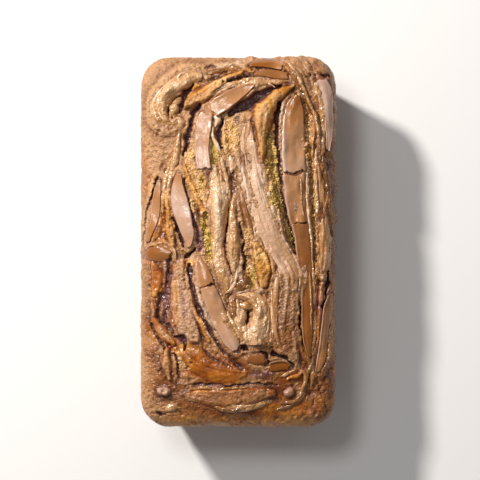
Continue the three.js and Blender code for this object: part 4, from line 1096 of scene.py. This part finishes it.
def breadMaterial():
    # Browned crust over moist crumb: porous and dull where plain, oily and shining where spread ran over it
    look = crustLook
    material, tree = newMaterial("brownedBreadCrust")
    coords = addNode(tree, "ShaderNodeTexCoord").outputs["Object"]
    names = ("streaked", "filmAndShade", "toast", "gold", "mauve", "crumb", "olive", "fudge", "strand", "hollow")
    masks = {name: attributeOf(tree, name) for name in names}
    blotch = cloudy(tree, coords, look["blotch"], 6.0, 0.6)
    grain = cloudy(tree, coords, look["grain"], 4.0, 0.7)
    crust = ramp(tree, blotch, [(0.32, "#a87444"), (0.44, "#b48450"), (0.54, "#c09062"), (0.66, "#b68868"),
                                (0.75, "#a87656")])
    fleck = ramp(tree, grain, [(0.3, "#7c4f2a"), (0.46, "#c0915e"), (0.62, "#d2a77c"), (0.75, "#e8c8a4")])
    colour = mixColour(tree, look["fleck"], crust, fleck)
    # Each layer: its mask, how much it hides of what is under it, what its colours follow, and its colours
    layers = [
        # the streaked layer's colours follow the strand relief: darker low parts are partly painted shade
        ("streaked", 0.7, masks["strand"], [(0.05, "#5a3820"), (0.3, "#99693f"), (0.55, "#ba8a5c"),
                                            (0.8, "#d2a983"), (1.0, "#e6ccb2")]),
        ("filmAndShade", 0.85, blotch, [(0.3, "#5c2a06"), (0.45, "#84460e"), (0.58, "#a2631f"), (0.72, "#c08a4a")]),
        ("toast", 0.95, blotch, [(0.3, "#5a2800"), (0.43, "#8a4400"), (0.55, "#b06208"), (0.7, "#d68e28")]),
        ("gold", 0.95, blotch, [(0.3, "#a86008"), (0.45, "#d08a22"), (0.58, "#f0b45a"), (0.72, "#fcd894")]),
        ("mauve", 0.9, grain, [(0.3, "#8c6050"), (0.5, "#be9682"), (0.75, "#e8ccbe")]),
        ("crumb", 0.85, grain, [(0.3, "#8a5e2c"), (0.46, "#cfa062"), (0.58, "#e8bc82"), (0.75, "#fbe2b4")]),
    ]
    for name, share, source, stops in layers:
        cover = maths(tree, "MULTIPLY", masks[name], share)
        colour = mixColour(tree, cover, colour, ramp(tree, source, stops))
    oily = ramp(tree, grain, [(0.3, "#745e10"), (0.46, "#b89a30"), (0.58, "#dcc054"), (0.75, "#faec94")])
    colour = mixColour(tree, maths(tree, "MULTIPLY", masks["olive"], masks["crumb"]), colour, oily)
    fudged = ramp(tree, grain, [(0.3, "#4c2425"), (0.48, "#7e4a48"), (0.62, "#a87a78"), (0.78, "#d4acaa")])
    colour = mixColour(tree, masks["fudge"], colour, fudged)
    # Painted shade in hollows, with some spread left in them: the deeper the hollow, the darker.
    hollowFillAndShade = ramp(tree, masks["hollow"], [(0.2, "#ffffff"), (0.5, "#f2e8e0"), (0.64, "#a88468"),
                                        (0.8, "#76482f"), (0.97, "#3e1c14")])
    lessDarkened = maths(tree, "MAXIMUM", masks["crumb"], maths(tree, "MULTIPLY", masks["fudge"], look["fudgeLessDarkened"]))
    colour = mixColour(tree, ranged(tree, lessDarkened, *look["hollowDarkening"]), colour, hollowFillAndShade, "MULTIPLY")
    cells = addNode(tree, "ShaderNodeTexVoronoi", {"Vector": coords, "Scale": 1 / look["pores"]})
    pores = ramp(tree, cells.outputs["Distance"], [(0.1, "#5c3a20"), (0.24, "#ffffff")])
    colour = mixColour(tree, look["poreShade"], colour, pores, "MULTIPLY")
    shiny = maths(tree, "MULTIPLY", masks["streaked"], look["streakShine"])
    for name in ("fudge", "filmAndShade", "toast"):
        shiny = maths(tree, "MAXIMUM", shiny, masks[name])
    speckle = cloudy(tree, coords, look["speckle"], 2.0, 0.65)
    dimples = ranged(tree, masks["toast"], *look["dimples"])
    endMaterial(tree, {
        "Base Color": colour, "Roughness": ranged(tree, shiny, *look["roughness"]), "IOR": 1.46,
        "Specular IOR Level": 0.6, "Normal": bumped(tree, speckle, dimples, look["speckleDepth"])})
    return material


def crumbMaterial():
    # Dry torn crumb: matte and golden, and yellow-green where it soaked up fat from the nuts
    material, tree = newMaterial("tornBreadCrumb")
    coords = addNode(tree, "ShaderNodeTexCoord").outputs["Object"]
    cloud = cloudy(tree, coords, crumbs["blotch"], 4.0)
    golden = ramp(tree, cloud, [(0.3, "#a87424"), (0.45, "#d8a454"), (0.6, "#eec486"), (0.75, "#fae4b8")])
    oily = ramp(tree, cloud, [(0.3, "#8a7024"), (0.45, "#c09c46"), (0.6, "#e2c26c"), (0.75, "#f8e4a0")])
    colour = mixColour(tree, attributeOf(tree, "olive"), golden, oily)
    endMaterial(tree, {"Base Color": colour, "Roughness": 0.75, "IOR": 1.45,
                       "Normal": bumped(tree, cloud, 0.5, 0.0004)})
    return material


looks = {
    "slab": {"name": "satinChocolateSkin", "roughness": 0.22, "bump": 0.15, "grain": 0.002, "mottle": 0.35,
        "streak": 0.1, "streakLength": 0.03, "streakWidth": 0.003, "edge": "#5a3218", "shine": 0.7,
        "coat": 0.0, "bubbles": 1.0,
        "colours": [(0.0, "#8e4e08"), (0.2, "#8c5220"), (0.42, "#a87040"), (0.6, "#b98862"),
            (0.8, "#c69e84"), (1.0, "#dabcac")]},
    "rope": {"name": "glossyFoldedSpread", "roughness": 0.14, "bump": 0.8, "grain": 0.0024, "mottle": 0.3,
        "streak": 0.35, "streakLength": 0.02, "streakWidth": 0.0024, "edge": "#6a4222", "shine": 0.9,
        "coat": 0.7, "bubbles": 1.4,
        "colours": [(0.0, "#70400e"), (0.25, "#96602a"), (0.5, "#be8850"), (0.75, "#d8aa7c"),
            (1.0, "#eecfae")]},
    "smear": {"name": "driedStreakedSpread", "roughness": 0.28, "bump": 0.8, "grain": 0.0018, "mottle": 0.3,
        "streak": 0.6, "streakLength": 0.04, "streakWidth": 0.0016, "edge": "#6e4826", "shine": 0.65,
        "coat": 0.35, "bubbles": 0.6,
        "colours": [(0.0, "#6e4012"), (0.25, "#925a24"), (0.5, "#b67e48"), (0.75, "#d4a884"),
            (1.0, "#eacaae")]},
}
# What the three share: the size of their clouded tones, the height of bubbles and streaks, and the coat
spreadForm = {"cloud": 0.009, "bumpDepth": 0.0013, "coatRoughness": 0.12}


def spreadMaterial(look):
    # Fat-rich cocoa and hazelnut spread: it sets with a soft shine, paler where it was worked and full of air
    # Its tone is partly painted light as well: paler where the lamp's sheen falls, darker where shade falls.
    material, tree = newMaterial(look["name"])
    coords = addNode(tree, "ShaderNodeTexCoord").outputs["Object"]
    flow = addNode(tree, "ShaderNodeUVMap", {"uv_map": "lengthwise"}).outputs[0]
    scale = (1 / look["streakLength"], 1 / look["streakWidth"], 1)
    stretched = addNode(tree, "ShaderNodeMapping", {"Vector": flow, "Scale": scale}).outputs[0]
    streaks = cloudy(tree, stretched, 1.0, 4.0, 0.6)
    cloud = cloudy(tree, coords, spreadForm["cloud"], 3.0)
    bubbles = cloudy(tree, coords, look["grain"], 2.0, 0.65)
    mottled = maths(tree, "MULTIPLY_ADD", cloud, look["mottle"], attributeOf(tree, "tone"))
    streaked = maths(tree, "MULTIPLY_ADD", streaks, look["streak"], mottled)
    centred = maths(tree, "SUBTRACT", streaked, 0.5 * (look["mottle"] + look["streak"]))
    skin = ramp(tree, centred, look["colours"])
    # Sides, ends and underside take the darker edge colour: partly the broken face, partly painted shade.
    colour = mixColour(tree, attributeOf(tree, "side"), skin, srgb(look["edge"]))
    heights = maths(tree, "MULTIPLY_ADD", bubbles, look["bubbles"], streaks)
    endMaterial(tree, {
        "Base Color": colour, "Roughness": look["roughness"], "IOR": 1.46,
        "Specular IOR Level": look["shine"],
        "Coat Weight": look["coat"], "Coat Roughness": spreadForm["coatRoughness"],
        "Normal": bumped(tree, heights, look["bump"], spreadForm["bumpDepth"])})
    return material


thinStrips = {
    "step": 0.7,
    "sides": 12,
    "flatness": 0.7,
    "roughness": 0.0014,
    "lumpSize": 0.0028,
    "sink": 0.3,
    "unevenness": 0.45,
    "unevenLength": 3.5,
    "wander": 0.5,
    "taper": 3,  # length of each end's taper
    "blunt": 0.12,  # how much is left of its width at the very end
    "mottle": 0.25,
}
strands = {
    "count": 260,
    "seed": 23,
    "shortest": 8,
    "longest": 26,
    "thinnest": 0.3,
    "thickest": 0.8,
    "darkest": 0.2,
    "palest": 0.8,
    "step": 2,
    "edge": 3.0,
    "lowest": -64,  # past this, at the photograph's lower end, the batter rose smooth
    "mostCover": 0.2,
    "leastStreaked": 0.5,
}


def dragStrands(flow, top):
    # Fine strands laid along the flow wherever the batter is streaked and no band covers it
    draw = np.random.default_rng(strands["seed"])
    made = []
    for _ in range(strands["count"]):
        x, y = draw.uniform(-0.5, 0.5) * loaf["width"], draw.uniform(-0.5, 0.5) * loaf["length"]
        length = draw.uniform(strands["shortest"], strands["longest"])
        half = draw.uniform(strands["thinnest"], strands["thickest"])
        tone = draw.uniform(strands["darkest"], strands["palest"])
        px, py, dx, dy = np.array([x]), np.array([y]), np.array([0.0]), np.array([1.0])
        path = []
        while len(path) < length / strands["step"]:
            covered = onTop(top, "cover", px, py)[0] >= strands["mostCover"]
            if edgeDistance(px, py)[0] <= strands["edge"] or covered or py[0] < strands["lowest"]:
                break
            if onTop(top, "streaked", px, py)[0] < strands["leastStreaked"]:
                break
            path.append([px[0], py[0], half])
            nextX, nextY = flowAt(flow, px, py)
            turn = np.where(nextX * dx + nextY * dy < 0, -1, 1)
            dx, dy = nextX * turn, nextY * turn
            px, py = px + strands["step"] * dx, py + strands["step"] * dy
        if len(path) >= strands["shortest"] / strands["step"]:
            made.append({"tone": tone, "flat": 0, "route": path})
    return made


def buildRibbons(top, laid, material):
    # One line of points for each ribbon, lying on whatever is under it
    form = thinStrips
    points, edges, halfWidth, tone = [], [], [], []
    for number, ribbon in enumerate(laid):
        line, run = traceRoute(ribbon["route"], form["step"])
        spots = np.stack([run / form["unevenLength"], np.full(len(run), number * 5.3)], axis=1)
        thickness = line[:, 2] * (1 + form["unevenness"] * fractal(spots, 1, 2, 7))
        x = line[:, 0] + form["wander"] * fractal(spots, 1.6, 2, 8)
        y = line[:, 1] + form["wander"] * fractal(spots, 1.6, 2, 9)
        ground = np.maximum(crownHeight(x, y) + ribbon["flat"], onTop(top, "height", x, y))
        ground = np.convolve(np.pad(ground, 2, mode="edge"), np.ones(5) / 5, mode="valid")
        first = len(points)
        points += np.column_stack([x, y, ground - form["sink"] * thickness]).tolist()
        edges += [(first + k, first + k + 1) for k in range(len(line) - 1)]
        ends = np.minimum(run, run[-1] - run)
        halfWidth += (thickness * mm * np.sqrt(np.clip(form["blunt"] + ends / form["taper"], 0, 1))).tolist()
        tone += (ribbon["tone"] + form["mottle"] * fractal(spots, 1.3, 2, 10)).tolist()
    mesh = bpy.data.meshes.new("ribbonRoutes")
    mesh.from_pydata((np.array(points) * mm).tolist(), edges, [])
    routes = addObject("ribbonRoutes", mesh)
    setAttribute(routes, "halfWidth", halfWidth)
    setAttribute(routes, "tone", tone)
    made = applyTree(routes, ribbonTree(), {
        "Sides": form["sides"], "Roughness": form["roughness"], "Lump Size": form["lumpSize"],
        "Finish": material}, "thinRibbons")
    bpy.data.objects.remove(routes)
    return made


crumbs = {
    "density": 6.0e5,  # to the square metre, where the crumb is wholly open
    "smallest": 0.0003,
    "largest": 0.0009,
    "flattest": (0.6, 0.6, 0.5),
    "fullest": (1.2, 1.2, 1.0),
    "seed": 4,
    "blotch": 0.004,
}

bandRoutes = [band["route"] for _, band in allBands]
flow = buildFlow(bandRoutes + [strip["route"] for strip in ribbons + breadRidges])
bread, breadTop = buildBread(flow)
looseCrumbs = applyTree(bread, crumbTree(), {
    "Density": crumbs["density"], "Smallest": crumbs["smallest"], "Largest": crumbs["largest"],
    "Seed": crumbs["seed"], "Finish": crumbMaterial()}, "looseCrumbs")
print("crumbs:", len(looseCrumbs.data.polygons), "faces")
bread.data.materials.append(breadMaterial())
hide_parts("loaf")
for piece in (bread, looseCrumbs):
    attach(piece, "root")

materials = {kind: spreadMaterial(look) for kind, look in looks.items()}
for kind, group in bandGroups.items():
    for number, (node, band) in enumerate(group.items()):
        piece = bandMesh(node + "_fine", kind, band, finishes[kind], 100 + number * 13)
        piece.data.materials.append(materials[kind])
        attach(piece, "root")
        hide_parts(node)
    print(kind, "bands:", len(group))

laidStrands = dragStrands(flow, breadTop)
print("dragged strands:", len(laidStrands))
thinRibbons = buildRibbons(breadTop, ribbons + laidStrands, materials["rope"])
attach(thinRibbons, "root")
print("ribbons:", len(thinRibbons.data.polygons), "faces")


# A pale floor, one lamp from the upper left with a soft one beside it, and a little light from all round
studio = {
    "floorReach": 3.0,
    "floor": "#f4f1ee",
    "surround": "#ffffff",
    "surroundStrength": 0.19,
    "aim": (0, 0, 0.05),
    "viewEnd": 20,
}
lights = {
    "keyLight": {"place": (-0.75, 0.7, 0.85), "size": 0.14, "power": 20.8, "colour": "#fffcf8"},
    "softLight": {"place": (-0.3, 0.35, 1.15), "size": 0.3, "power": 3.4, "colour": "#fbfcff"},
}


def buildFloor():
    reach = studio["floorReach"]
    mesh = bpy.data.meshes.new("floor")
    corners = [(-reach, -reach, 0), (reach, -reach, 0), (reach, reach, 0), (-reach, reach, 0)]
    mesh.from_pydata(corners, [], [(0, 1, 2, 3)])
    floor = addObject("floor", mesh)
    material, tree = newMaterial("paleFloor")
    endMaterial(tree, {"Base Color": srgb(studio["floor"]), "Roughness": 0.9})
    mesh.materials.append(material)


def buildLights():
    for name, spec in lights.items():
        light = bpy.data.lights.new(name, "AREA")
        light.shape = "DISK"
        light.size = spec["size"]
        light.energy = spec["power"]
        light.color = srgb(spec["colour"])[:3]
        obj = addObject(name, light)
        obj.location = spec["place"]
        obj.rotation_euler = (Vector(studio["aim"]) - obj.location).to_track_quat("-Z", "Y").to_euler()
    world = bpy.data.worlds.new("studio")
    world.use_nodes = True
    background = world.node_tree.nodes["Background"].inputs
    background["Color"].default_value = srgb(studio["surround"])
    background["Strength"].default_value = studio["surroundStrength"]
    bpy.context.scene.world = world
    bpy.context.scene.view_settings.view_transform = "Standard"


def buildCamera():
    metresPerPixel = loaf["length"] * mm / photo["loafLength"]
    camera = addObject("camera", bpy.data.cameras.new("camera"))
    camera.location = ((photo["side"] / 2 - photo["loafCentre"][0]) * metresPerPixel,
                       (photo["loafCentre"][1] - photo["side"] / 2) * metresPerPixel,
                       loaf["rim"] * mm + photo["cameraHeight"])
    field = photo["side"] * metresPerPixel
    camera.data.lens = camera.data.sensor_width * photo["cameraHeight"] / field
    camera.data.clip_end = studio["viewEnd"]
    bpy.context.scene.camera = camera


buildFloor()
buildLights()
buildCamera()
print("stage ready")
